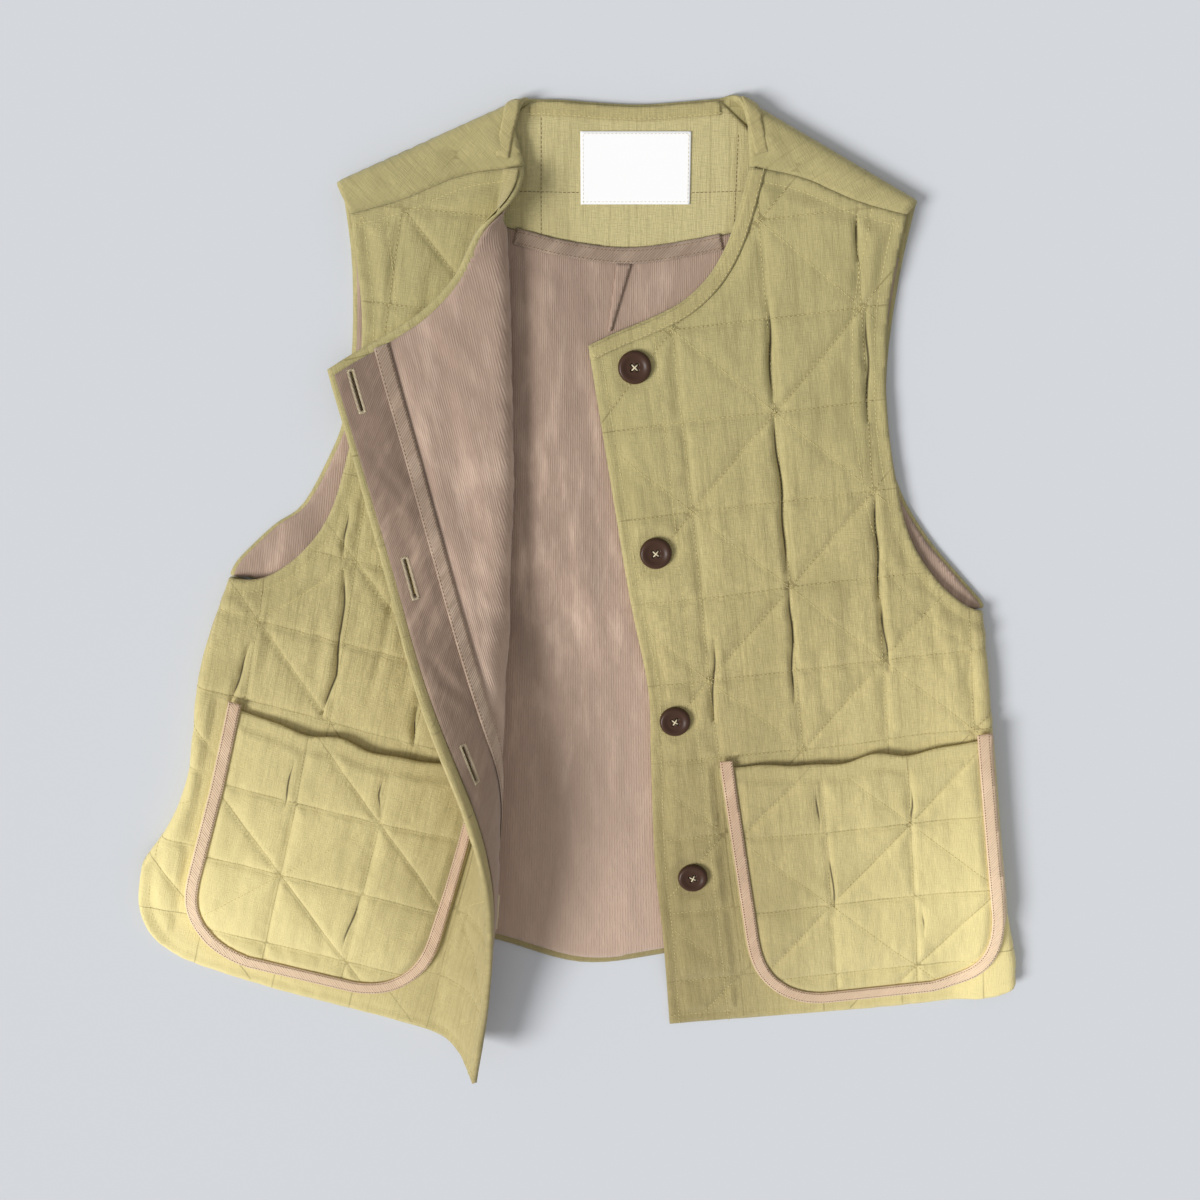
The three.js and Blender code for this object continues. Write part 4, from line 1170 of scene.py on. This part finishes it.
def right_lining_outline():
    edge = facing_width + seam_gap
    top = neck_run[(neck_run[:, 0] > edge + 2) & (neck_run[:, 0] < 108)] - [0, 5.5]
    reach = [(121, 566), (111, 440), (98, 300), (91, 150), (74, -6)]
    return outline([(edge, facing_foot + 8)], [(edge, top[0][1])], top, reach)


flap_creases = rows(
    "u0 v0 u1 v1 deep wide",
    (70, 520, 60, 380, 0.7, 4.0), (88, 470, 74, 330, 0.6, 4.0), (60, 360, 66, 240, 0.6, 3.5),
    (80, 300, 62, 190, 0.6, 3.5), (8, 470, 34, 410, 0.6, 3.0), (10, 330, 34, 280, 0.7, 3.0),
    (8, 260, 34, 196, 0.7, 3.0), (10, 200, 32, 150, 0.5, 3.0), (50, 250, 52, 120, 0.6, 3.0),
    (56, 540, 84, 470, 0.5, 4.0),
)


def flap_face(u, v):
    """The lining side of the right front: it lies in soft folds, upwards of flat."""
    free = smooth((u - 9) / 5) * smooth((112 - u) / 14) * smooth((near_run(neck_run, u, v) - 6) / 10)
    seam = smooth((np.abs(u - facing_width) - tape_width / 2 - 1) / 5)
    rise = lining_folds(u, v, 91) + creased(flap_creases, u, v)
    return -np.maximum(0, rise) * free * seam * smooth((v + 10) / 30)


facing_cut, lining_cut = facing_outline(), right_lining_outline()
right_facing = shell(
    "right_front_facing_cord", cut(facing_cut, front_grid, holes),
    lay_right, flap_face, 1.0, cord_facing, 0.3,
)
right_lining = shell(
    "right_front_lining_cord", cut(lining_cut, front_grid), lay_right, flap_face, 1.0, cord_lining, 0.3
)
facing_tape_cut = np.array([(34.5, -7), (43.5, -7), (43.5, 522), (34.5, 521)])
facing_tape = shell(
    "right_front_facing_binding", cut(facing_tape_cut, 2.0), lay_right, -1.4, -0.4, seam_tape, 0.3
)
for piece, node, points in (
    (right_facing, "right_front_facing", facing_cut),
    (right_lining, "right_front_lining", lining_cut),
):
    hand_over(piece, node, "cord_lining", points, "folded", ["right_front_quilted"])
hand_over(
    facing_tape, "right_front_facing_tape", "bias_tape", facing_tape_cut, "folded",
    [right_facing.name], [(facing_width, -7), (facing_width, 521.5)],
)
print("facing", cut_area(facing_cut)[0], "lining", cut_area(lining_cut)[0])


# %% The back and its lining
def back_outer(x, y):
    """The back's outer face: flat where it lies, quilted where it turns over on top."""
    past, _ = past_shoulder(x, y)
    on_top = smooth((past - shoulder_neutral * np.pi) / 8)
    edge = near_run(back_cut, x, y, True)
    return -puffs(back_lattice, x, y, back_seed) * smooth((edge - 6) / 8) * on_top


back = shell(
    "back_quilted",
    cut(back_cut, back_grid, lattice=back_lattice),
    lay_back, back_outer, back_wall, quilted_linen,
    # The back's quilting gets fainter painted shade.
    marks=painted_shade_distances(back_lattice, shade_offset=0.4),
)
hand_over(back, "back", "quilted_linen", back_cut, "laid", ["floor"])


def offset(points, distance):
    """A run of points moved sideways, to its left as it is walked."""
    ahead = np.vstack([points[1:], points[-1:]]) - np.vstack([points[:1], points[:-1]])
    along = ahead / np.hypot(ahead[:, 0], ahead[:, 1])[:, None]
    return points + distance * np.stack([-along[:, 1], along[:, 0]], axis=1)


def strip(points, first, second):
    return outline(offset(points, first), offset(points, second)[::-1])


def finer(run, step=2.0):
    """The same run with points no further apart than a step."""
    run = np.asarray(run, float)
    made = [run[:1]]
    for a, b in zip(run[:-1], run[1:]):
        parts = max(1, math.ceil(np.hypot(*(b - a)) / step))
        made.append(a + (b - a) * (np.arange(1, parts + 1) / parts)[:, None])
    return np.concatenate(made)


facing_seam = curve(facing_low_edge, 40)


def back_lining_outline():
    past, _ = past_shoulder(back_cut[:, 0], back_cut[:, 1])
    sides = back_cut[(past < -2) & (back_cut[:, 1] < 234)]
    inward = np.where(sides[:, 0] > neck_middle, -2 * edge_inset, 2 * edge_inset)
    lifted = np.where(sides[:, 1] < -190, 5, 0)
    return outline(sides + np.stack([inward, lifted], axis=1), offset(facing_seam, -seam_gap - 0.2))


def neck_facing_outline():
    top = curve(back_neck, 40) - [0, edge_inset]
    made = outline(top, [(99, 298), (99, 242)], facing_seam[::-1], [(-72, 298)])
    past, _ = past_shoulder(made[:, 0], made[:, 1])
    return made[past < 4]


back_creases = rows(
    "u0 v0 u1 v1 deep wide",
    (20, 223, 7, 150, 1.8, 1.6), (24, 223, 52, 188, 0.7, 2.4), (10, 223, -22, 196, 0.6, 2.6),
    (22, 223, 34, 176, 0.6, 2.2), (4, 223, -8, 160, 0.6, 3.0), (6, 186, -10, -268, 0.45, 1.3),
    (-20, 60, -34, -60, 0.5, 4.0), (30, 120, 22, 10, 0.5, 4.0), (20, -40, 34, -150, 0.5, 4.0),
)


def lining_rise(x, y):
    """Folds of the back's lining where it lies open between the fronts."""
    far_side = 46 - 0.1228 * (y + 338)
    free = smooth((x + 49) / 12) * smooth((far_side - x) / 14) * smooth((222 - y) / 9)
    free = free * smooth((y + 268) / 20)
    return np.maximum(0, lining_folds(x, y, 101) + creased(back_creases, x, y)) * free


def lining_top(x, y):
    return lining_level + lining_wall + lining_rise(x, y)


back_lining_cut, neck_facing_cut = back_lining_outline(), neck_facing_outline()
back_lining = shell(
    "back_lining_cord", cut(back_lining_cut, lining_grid),
    lay_back, lining_level, lining_top, cord_lining, 0.3,
)
neck_facing = shell(
    "back_neck_facing_linen", cut(neck_facing_cut, front_grid),
    lay_back, lining_level, lining_level + 1, plain_linen, 0.3,
)
hand_over(back_lining, "back_lining", "cord_lining", back_lining_cut, "laid", ["back_quilted"])
hand_over(neck_facing, "back_neck_facing", "quilted_linen", neck_facing_cut, "laid", ["back_quilted"])
pleat_cut = np.array([(10.5, 224), (5, 182), (7, 182), (19.5, 224)])
pleat = shell(
    "back_lining_fold", cut(pleat_cut, 1.5), lay_back,
    lambda x, y: lining_top(x, y) + 0.1, lambda x, y: lining_top(x, y) + 2.0, cord_lining, 0.5,
)
hand_over(
    pleat, "back_lining_pleat", "cord_lining", pleat_cut, "laid",
    ["back_lining_cord"], [(15, 224), (6, 182)],
)
print("back", cut_area(back_cut)[0], "lining", cut_area(back_lining_cut)[0], "square metres")

# %% Tapes, bands and the label
open_seam = facing_seam[(facing_seam[:, 0] > -55) & (facing_seam[:, 0] < 80)]
neck_tape_cut = strip(open_seam, 1, -tape_width)
back_band_cut = strip(curve(back_neck, 40), -edge_inset, -band_width)
band_run = curve(front_neck, 56)
left_band_cut = strip(band_run, -edge_inset, -band_width)
right_band_cut = strip(band_run[band_run[:, 0] > 96], -edge_inset, -band_width)
label_cut = np.array([(-12, 260), (56, 260), (56, 303), (-12, 303)])
band_level = front_wall + seam_gap
right_level = right_face_low + band_level + 0.5
trims = (
    ("back_neck_seam_tape", "back_neck_facing_tape", neck_tape_cut, lay_back, on_lining, "bias_tape"),
    ("back_neck_bound_edge", "back_neck_band", back_band_cut, lay_back, on_lining, "linen_band"),
    ("left_neck_bound_edge", "left_neck_band", left_band_cut, lay_left, band_level, "linen_band"),
    ("right_neck_bound_edge", "right_neck_band", right_band_cut, lay_right, right_level, "linen_band"),
    ("blank_cloth_label", "label", label_cut, lay_back, on_lining, "blank_label"),
)
cloths = {"bias_tape": seam_tape, "linen_band": linen_band, "blank_label": blank_label}
lies_on = {
    lay_back: "back_neck_facing_linen",
    lay_left: "left_front_quilted",
    lay_right: "right_front_quilted",
}
runs = {
    "back_neck_seam_tape": open_seam,
    "back_neck_bound_edge": curve(back_neck, 40),
    "left_neck_bound_edge": band_run,
    "right_neck_bound_edge": band_run[band_run[:, 0] > 96],
}
for name, node, points, lay, level, slot in trims:
    wall = label_wall if node == "label" else tape_wall
    piece = shell(name, cut(points, trim_grid), lay, level, level + wall, cloths[slot], 0.3)
    hand_over(piece, node, slot, points, "laid", [lies_on[lay]], runs.get(name))

# The neck's bound edge goes on over both shoulders, on the back's outer face.
for side, places, sign in (
    ("left", [(84.9, 321.5), (87.5, 315), (90, 306), (92.5, 297), (94.5, 289)], -1),
    ("right", [(-47.5, 319.5), (-50, 311), (-52, 304), (-54, 295), (-55.5, 287)], 1),
):
    run = finer(unfold_shoulder(np.array(places, float)), 2.0)
    band_cut = strip(run, sign * 0.4, sign * 8.4)
    piece = shell(
        f"{side}_shoulder_bound_edge", cut(band_cut, trim_grid), lay_back, -1.3, -0.1, linen_band, 0.3
    )
    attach(piece, "root")
    area, _ = cut_area(band_cut)
    declared.append((piece, (0.01, 0.03), "folded", ["back_quilted"], min(area, 0.0003)))
print("declared", len(declared))


# %% Pockets
pocket_stand = 0.6


def gape(u, v):
    """How far the pocket stands off at its open mouth."""
    in_mouth = smooth(1 - (pocket_top - v) / 95)
    middle, half = (pocket_left + pocket_right) / 2, (pocket_right - pocket_left) / 2
    across = smooth(1.25 - np.abs(u - middle) / half)
    return 3.4 * in_mouth * across * (1 + 0.16 * noise(u, v * 0.3, 26, 61))


def raised(lay, by):
    def on_top(u, v, w):
        return lay(u, v, w + by)

    return on_top


def binding_run():
    top = pocket_top - 2 * mouth_dip - 1
    sides = pocket_cut[pocket_cut[:, 1] < top]
    start = [[pocket_left, pocket_top + 5], [pocket_left, pocket_top]]
    return np.vstack([start, sides, [[pocket_right - 3, pocket_top + 5]]])


pocket_binding_cut = strip(binding_run(), 1, binding_width)
for side, lay, stack, lattice, pocket_folds in (
    ("left", lay_left, front_wall, left_pocket_lattice, left_pocket_folds),
    ("right", lay_right, right_stack, right_pocket_lattice, right_pocket_folds),
):
    on_front = raised(lay, stack)
    seed = 71 if side == "left" else 81

    def pocket_low(u, v):
        return pocket_stand + gape(u, v)

    def pocket_high(u, v):
        edge = near_run(pocket_cut, u, v, True)
        rise = puffs(lattice, u, v, seed) + 0.3 * sunk(pocket_folds, u, v)
        rise *= smooth((edge - 10) / 5)
        return pocket_low(u, v) + pocket_wall + rise

    pocket = shell(
        side + "_pocket_quilted",
        cut(pocket_cut, pocket_grid, lattice=lattice, folds=pocket_folds),
        on_front, pocket_low, pocket_high, quilted_linen,
        marks=painted_shade_distances(lattice, pocket_folds),
    )
    hand_over(pocket, side + "_pocket", "quilted_linen", pocket_cut, "laid", [side + "_front_quilted"])

    def binding_low(u, v):
        return pocket_low(u, v) + pocket_wall + 2 * seam_gap

    def binding_high(u, v):
        return binding_low(u, v) + tape_wall

    binding = shell(
        side + "_pocket_bound_edge", cut(pocket_binding_cut, trim_grid),
        on_front, binding_low, binding_high, bias_tape, 0.3,
    )
    hand_over(
        binding, side + "_pocket_binding", "bias_tape", pocket_binding_cut, "laid",
        [pocket.name], binding_run(),
    )
print("pieces", len(declared))


# %% Buttons
def button_face(r):
    """A turned button: a soft rim, and a dish inside it."""
    table = rows(
        "r w", (0, 2.3), (3.6, 2.3), (5.6, 2.45), (7.4, 3.2), (8.6, 3.45), (9.8, 3.1), (button_radius, 1.9)
    )
    return read(table, "r", "w", r)


def ring(radius, sides, middle=(0, 0)):
    angles = np.arange(sides) * math.tau / sides
    return np.stack([np.cos(angles), np.sin(angles)], axis=1) * radius + middle


pit_angles = [math.pi / 4 + k * math.pi / 2 for k in range(4)]
pit_places = [
    (button_hole_spread * math.cos(a), button_hole_spread * math.sin(a)) for a in pit_angles
]
pits = [ring(button_hole, 12, place) for place in pit_places]
button_flat = cut(ring(button_radius, 64), 0.75, pits)


def sewn_on(centre, turn):
    """A lay for something stiff and flat: it turns and stands, and doesn't bend."""

    def lay(u, v, w):
        cos, sin = math.cos(turn), math.sin(turn)
        u, v, w = np.broadcast_arrays(u, v, w)
        return np.stack([u * cos - v * sin, u * sin + v * cos, w], axis=-1) + centre

    return lay


def bar(place, direction, length, width, height):
    """A short thread as a rounded six-sided bar, its points and faces."""
    along = np.array([math.cos(direction), math.sin(direction)])
    side = np.array([-along[1], along[0]])
    points, faces = [], []
    for k, t in enumerate((-0.5, -0.3, 0.0, 0.3, 0.5)):
        arch = height * (1 - (2 * t) ** 4)
        size = width * (0.35 if abs(t) == 0.5 else 0.5)
        for a in np.arange(6) * math.tau / 6:
            flat = np.array(place) + along * length * t + side * size * math.cos(a)
            points.append((*flat, arch + size * math.sin(a)))
    for k in range(4):
        for m in range(6):
            n = (m + 1) % 6
            faces.append((6 * k + m, 6 * k + n, 6 * k + 6 + n, 6 * k + 6 + m))
    faces += [tuple(range(5, -1, -1)), tuple(range(24, 30))]
    return np.array(points), faces


def plain_mesh(name, points, faces, material):
    mesh = bpy.data.meshes.new(name)
    mesh.from_pydata(((points + shift) / 1000).tolist(), [], faces)
    mesh.polygons.foreach_set("use_smooth", np.ones(len(faces), bool))
    mesh.materials.append(material)
    return placed(name, mesh)


for number, row in enumerate(reversed(button_rows), 1):
    centre = lay_left(np.array(float(button_across)), np.array(float(row)), front_wall + seam_gap)
    lay = sewn_on(centre, left_place["turn"] + 0.12 * (number - 2))
    disc = shell(
        f"horn_button_{number}", button_flat, lay, 0.0,
        lambda u, v: button_face(np.hypot(u, v)), horn_button, 0.1,
    )
    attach(disc, "root")
    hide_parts(f"button_{number}")
    points, faces = [], []
    for way in (0.25, 0.75, 0.25, 0.75):
        lift = len(points) / 300
        part, part_faces = bar((0, 0), way * math.pi, 5.4, 0.95, 0.6 + lift)
        faces += [tuple(i + 30 * len(points) for i in face) for face in part_faces]
        points.append(lay(part[:, 0], part[:, 1], part[:, 2] + 2.1))
    thread = plain_mesh(f"button_thread_{number}", np.concatenate(points), faces, cream_thread)
    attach(thread, "root")
print("buttons", len(button_rows))

# %% [markdown]
# ## Stitches
#
# A row of stitches is a run of points on the cloth. Geometry Nodes lays one short thread
# after another along each run. The same group makes the buttonholes, its threads across
# the run there instead of along it.

# %% A group that sews
sewing = bpy.data.node_groups.new("Row of stitches", "GeometryNodeTree")
inputs = {}
for name, kind, value in (
    ("Rows", "NodeSocketGeometry", None),
    ("Spacing", "NodeSocketFloat", 0.003),
    ("Stitch length", "NodeSocketFloat", 0.0022),
    ("Thread", "NodeSocketFloat", 0.0004),
    ("Across", "NodeSocketFloat", 0.0),
    ("Material", "NodeSocketMaterial", None),
):
    socket = sewing.interface.new_socket(name, in_out="INPUT", socket_type=kind)
    if value is not None:
        socket.default_value = value
    inputs[name] = socket.identifier
sewing.interface.new_socket("Stitches", in_out="OUTPUT", socket_type="NodeSocketGeometry")
given = sewing.nodes.new("NodeGroupInput").outputs
as_curve = add_node(sewing, "GeometryNodeMeshToCurve", {"Mesh": given["Rows"]})
spaced = add_node(
    sewing,
    "GeometryNodeResampleCurve",
    {"Curve": as_curve.outputs["Curve"], "Length": given["Spacing"]},
    mode="LENGTH",
)
tangent = add_node(sewing, "GeometryNodeInputTangent", {})
aside = add_node(
    sewing, "ShaderNodeVectorMath", {0: tangent.outputs[0], 1: (0, 0, 1)}, operation="CROSS_PRODUCT"
)
way = add_node(sewing, "ShaderNodeMix", {0: given["Across"]}, data_type="VECTOR")
sewing.links.new(tangent.outputs[0], way.inputs[4])
sewing.links.new(aside.outputs[0], way.inputs[5])
turned = add_node(sewing, "FunctionNodeAlignRotationToVector", {"Vector": way.outputs[1]}, axis="Z")
thread_size = add_node(
    sewing,
    "ShaderNodeCombineXYZ",
    {"X": given["Thread"], "Y": given["Thread"], "Z": given["Stitch length"]},
)
bead = add_node(
    sewing, "GeometryNodeMeshUVSphere", {"Segments": 6, "Rings": 4, "Radius": 0.5}
)
laid = add_node(
    sewing,
    "GeometryNodeInstanceOnPoints",
    {
        "Points": spaced.outputs["Curve"],
        "Instance": bead.outputs["Mesh"],
        "Rotation": turned.outputs["Rotation"],
        "Scale": thread_size.outputs["Vector"],
    },
)
real = add_node(sewing, "GeometryNodeRealizeInstances", {"Geometry": laid.outputs["Instances"]})
coloured = add_node(
    sewing,
    "GeometryNodeSetMaterial",
    {"Geometry": real.outputs["Geometry"], "Material": given["Material"]},
)
sewn = sewing.nodes.new("NodeGroupOutput")
sewing.links.new(coloured.outputs["Geometry"], sewn.inputs["Stitches"])
print("the group takes", list(inputs))


# %% Rows on the cloth
def on_cloth(lay, level, run, lift=0.12):
    """A run in pattern coordinates as points just off the cloth, in metres."""
    run = np.asarray(run, float)
    u, v = run[:, 0], run[:, 1]
    height = level(u, v) if callable(level) else np.full(len(u), float(level))
    return (lay(u, v, height + lift) + shift) / 1000


def kept_runs(run, keep):
    """The pieces of a run that a test keeps."""
    made, here = [], []
    for point, wanted in zip(run, keep):
        if wanted:
            here.append(point)
        elif len(here) > 2:
            made.append(np.array(here))
            here = []
        else:
            here = []
    if len(here) > 2:
        made.append(np.array(here))
    return made


def quilting_rows(points, lattice, margin, shown):
    """All the lines of quilting within an outline."""
    start_u, start_v, pitch, parity = lattice
    low, high = points.min(axis=0), points.max(axis=0)
    first_i, last_i = math.floor((low[0] - start_u) / pitch), math.ceil((high[0] - start_u) / pitch)
    first_j, last_j = math.floor((low[1] - start_v) / pitch), math.ceil((high[1] - start_v) / pitch)
    left, right = start_u + first_i * pitch, start_u + last_i * pitch
    foot, top = start_v + first_j * pitch, start_v + last_j * pitch
    uprights = [start_u + i * pitch for i in range(first_i, last_i + 1)]
    levels = [start_v + j * pitch for j in range(first_j, last_j + 1)]
    lines = [[(u, foot), (u, top)] for u in uprights] + [[(left, v), (right, v)] for v in levels]
    across = (last_i - first_i) + (last_j - first_j)
    for k in range(-across, across + 1):
        if (first_i + first_j + parity + k) % 2 == 0:
            at = left + k * pitch
            lines.append([(at, foot), (at + top - foot, top)])
            lines.append([(at, foot), (at - top + foot, top)])
    made = []
    for line in lines:
        run = finer(line)
        u, v = wandered(run[:, 0], run[:, 1], True)
        run = np.stack([u, v], axis=1)
        keep = inside(points, u, v) & (near_run(points, u, v, True) > margin) & shown(u, v)
        made += kept_runs(run, keep)
    return made


def sew(name, paths, material, spacing=0.003, length=0.0022, thread=0.00042, across=0.0):
    """Rows of stitches as one piece."""
    points, edges = [], []
    for path in paths:
        first = sum(len(p) for p in points)
        points.append(path)
        edges += [(first + k, first + k + 1) for k in range(len(path) - 1)]
    mesh = bpy.data.meshes.new(name)
    mesh.from_pydata(np.concatenate(points).tolist(), edges, [])
    made = placed(name, mesh)
    nodes = made.modifiers.new("sewing", "NODES")
    nodes.node_group = sewing
    for key, value in (
        ("Spacing", spacing), ("Stitch length", length), ("Thread", thread),
        ("Across", across), ("Material", material),
    ):
        nodes[inputs[key]] = value
    bpy.context.view_layer.update()
    graph = bpy.context.evaluated_depsgraph_get()
    finished = bpy.data.meshes.new_from_object(made.evaluated_get(graph), depsgraph=graph)
    made.modifiers.clear()
    made.data = finished
    finished.polygons.foreach_set("use_smooth", np.ones(len(finished.polygons), bool))
    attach(made, "root")
    print(name, "triangles", sum(len(p.vertices) - 2 for p in finished.polygons))
    return made


# %% Quilting and topstitching on the fronts
def inset_run(points, inset, shown):
    """A line of topstitching a set distance within a closed outline."""
    whole = finer(np.vstack([points, points[:1]]))
    moved = offset(whole, inset)
    u, v = moved[:, 0], moved[:, 1]
    keep = (near_run(points, u, v, True) > inset - 0.4) & inside(points, u, v) & shown(u, v)
    return kept_runs(moved, keep)


def rows_on_front(points, lattice, lay, face, fold, buttoned):
    def shown(u, v):
        return ~under_pocket(u, v) & (u < read(fold, "v", "u", v) + 6)

    found = quilting_rows(points, lattice, 9, shown)
    found += inset_run(points, -hem_stitching, shown)
    arm = offset(finer(armhole_run), -armhole_stitching)
    found += kept_runs(arm, inside(points, arm[:, 0], arm[:, 1]) & shown(arm[:, 0], arm[:, 1]))
    if buttoned:
        found.append(finer([(placket_width, -2), (placket_width, 521)]))
    return [on_cloth(lay, face, run) for run in found]


left_rows = rows_on_front(left_outline, left_lattice, lay_left, left_face, left_fold, True)
right_rows = rows_on_front(right_outline, right_lattice, lay_right, right_face, right_fold, False)
sew("left_front_stitches", left_rows, linen_thread)
sew("right_front_stitches", right_rows, linen_thread)


# %% Pockets, bands, label and buttonholes
def lined_up(run, inset):
    """A run moved sideways by a distance, with its points close together."""
    return finer(offset(finer(run), inset))


def anywhere(u, v):
    return np.ones(np.shape(u), bool)


pocket_rows, binding_rows = [], []
for lay, stack, lattice, seed in (
    (lay_left, front_wall, left_pocket_lattice, 71),
    (lay_right, right_stack, right_pocket_lattice, 81),
):
    on_front = raised(lay, stack)

    def pocket_face(u, v):
        edge = near_run(pocket_cut, u, v, True)
        rise = puffs(lattice, u, v, seed) * smooth((edge - 10) / 5)
        return pocket_stand + gape(u, v) + pocket_wall + rise

    def binding_face(u, v):
        return pocket_stand + gape(u, v) + pocket_wall + 2 * seam_gap + tape_wall

    for run in quilting_rows(pocket_cut, lattice, 11, anywhere):
        pocket_rows.append(on_cloth(on_front, pocket_face, run))
    for inset in (8.9, 2.2):
        binding_rows.append(on_cloth(on_front, binding_face, lined_up(binding_run(), inset)))
sew("pocket_stitches", pocket_rows, linen_thread)
sew("binding_stitches", binding_rows, dark_thread, 0.0021, 0.0012, 0.0005)

band_rows = [
    on_cloth(lay_left, band_level + 1, lined_up(band_run, -8.4)),
    on_cloth(lay_back, on_lining + 1, lined_up(curve(back_neck, 40), -8.4)),
]
sew("band_stitches", band_rows, linen_thread)
facing_lines = (
    [(-60, 268), (-14, 267)], [(58, 267), (92, 268)], [(-37, 240), (-36, 310)], [(84, 240), (85, 300)]
)
facing_rows = [
    on_cloth(lay_back, lining_level + 1, lined_up(run, 0), 0.02) for run in facing_lines
]
sew("neck_facing_stitches", facing_rows, dark_thread, 0.0026, 0.0022, 0.0004)

tape_rows = [
    on_cloth(lay_right, -1.4, lined_up([(35.6, -4), (35.6, 519)], 0), -0.12),
    on_cloth(lay_right, -1.4, lined_up([(42.4, -4), (42.4, 520)], 0), -0.12),
    on_cloth(lay_back, on_lining + 1, lined_up(open_seam, -1)),
    on_cloth(lay_back, on_lining + 1, lined_up(open_seam, -7.6)),
]
sew("tape_stitches", tape_rows, brown_thread, 0.0026, 0.0016, 0.0004)

label_loop = np.array([(-10.5, 261.5), (54.5, 261.5), (54.5, 301.5), (-10.5, 301.5), (-10.5, 261.5)])
label_rows = [on_cloth(lay_back, on_lining + label_wall, finer(label_loop))]
sew("label_stitches", label_rows, cream_thread, 0.0024, 0.0016, 0.0003)

hole_rows = []
for row in button_rows:
    side, end, u = 1.9, buttonhole_length / 2 + 1.2, buttonhole_across
    loop = [(u - side, row - end), (u + side, row - end), (u + side, row + end), (u - side, row + end)]
    hole_rows.append(on_cloth(lay_right, flap_face, finer([*loop, loop[0]], 1.0), -0.25))
sew("buttonhole_stitches", hole_rows, cream_thread, 0.0008, 0.0020, 0.0005, 1.0)

# %% [markdown]
# ## Floor, light and camera

# %% The quilted, cord and stitched pieces are lifted to the floor where they dip below it
for made in bpy.data.objects:
    if not made.name.endswith(("_quilted", "_cord", "_stitches")):
        continue
    vertices = made.data.vertices
    places = np.empty(3 * len(vertices))
    vertices.foreach_get("co", places)
    places[2::3] = np.maximum(places[2::3], 0)
    vertices.foreach_set("co", places)

# %% Floor and light
floor_mesh = bpy.data.meshes.new("floor")
floor_half = 6.0
floor_mesh.from_pydata(
    [(x * floor_half, y * floor_half, 0) for x, y in ((-1, -1), (1, -1), (1, 1), (-1, 1))],
    [],
    [(0, 1, 2, 3)],
)
floor = placed("floor", floor_mesh)
floor_mesh.materials.append(plain("pale_paper", linear(214, 217, 222), 1.0))

world = bpy.data.worlds.new("room")
bpy.context.scene.world = world
world.use_nodes = True
world.node_tree.nodes["Background"].inputs["Color"].default_value = (1.0, 1.0, 1.0, 1.0)
world.node_tree.nodes["Background"].inputs["Strength"].default_value = 0.44


def sun(name, strength, spread, azimuth, elevation):
    """A distant light from an azimuth, 0 along +X and 90 along +Y, in degrees."""
    data = bpy.data.lights.new(name, "SUN")
    data.energy = strength
    data.angle = math.radians(spread)
    made = placed(name, data)
    turn, rise = math.radians(azimuth), math.radians(elevation)
    towards = Vector((math.cos(turn) * math.cos(rise), math.sin(turn) * math.cos(rise), math.sin(rise)))
    made.rotation_euler = towards.to_track_quat("Z", "Y").to_euler()


sun("window_left", 2.75, 24, 200, 38)
bpy.context.scene.view_settings.view_transform = "Standard"
print("lights", len(bpy.data.lights))

# %% Camera
# Where the photograph was taken from: above the surface, on the neck's side of the hem.
camera_place = (0, 268.5, 851.7)
camera_slant = 17.5
camera_data = bpy.data.cameras.new("camera")
camera_data.lens = 39
camera_data.sensor_width = 36
camera = placed("camera", camera_data)
camera.location = (np.array(camera_place) + shift) / 1000
camera.rotation_euler = (math.radians(-camera_slant), 0, 0)
bpy.context.scene.camera = camera
print("camera at", [round(x, 3) for x in camera.location])

# %% [markdown]
# ## The noted pieces

# %% A last pass over the noted pieces, and an update of the view layer
for piece, flat_size, held, rests_on, area in declared:
    width, length = flat_size
    min(area, width * length)
    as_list(rests_on)
bpy.context.view_layer.update()
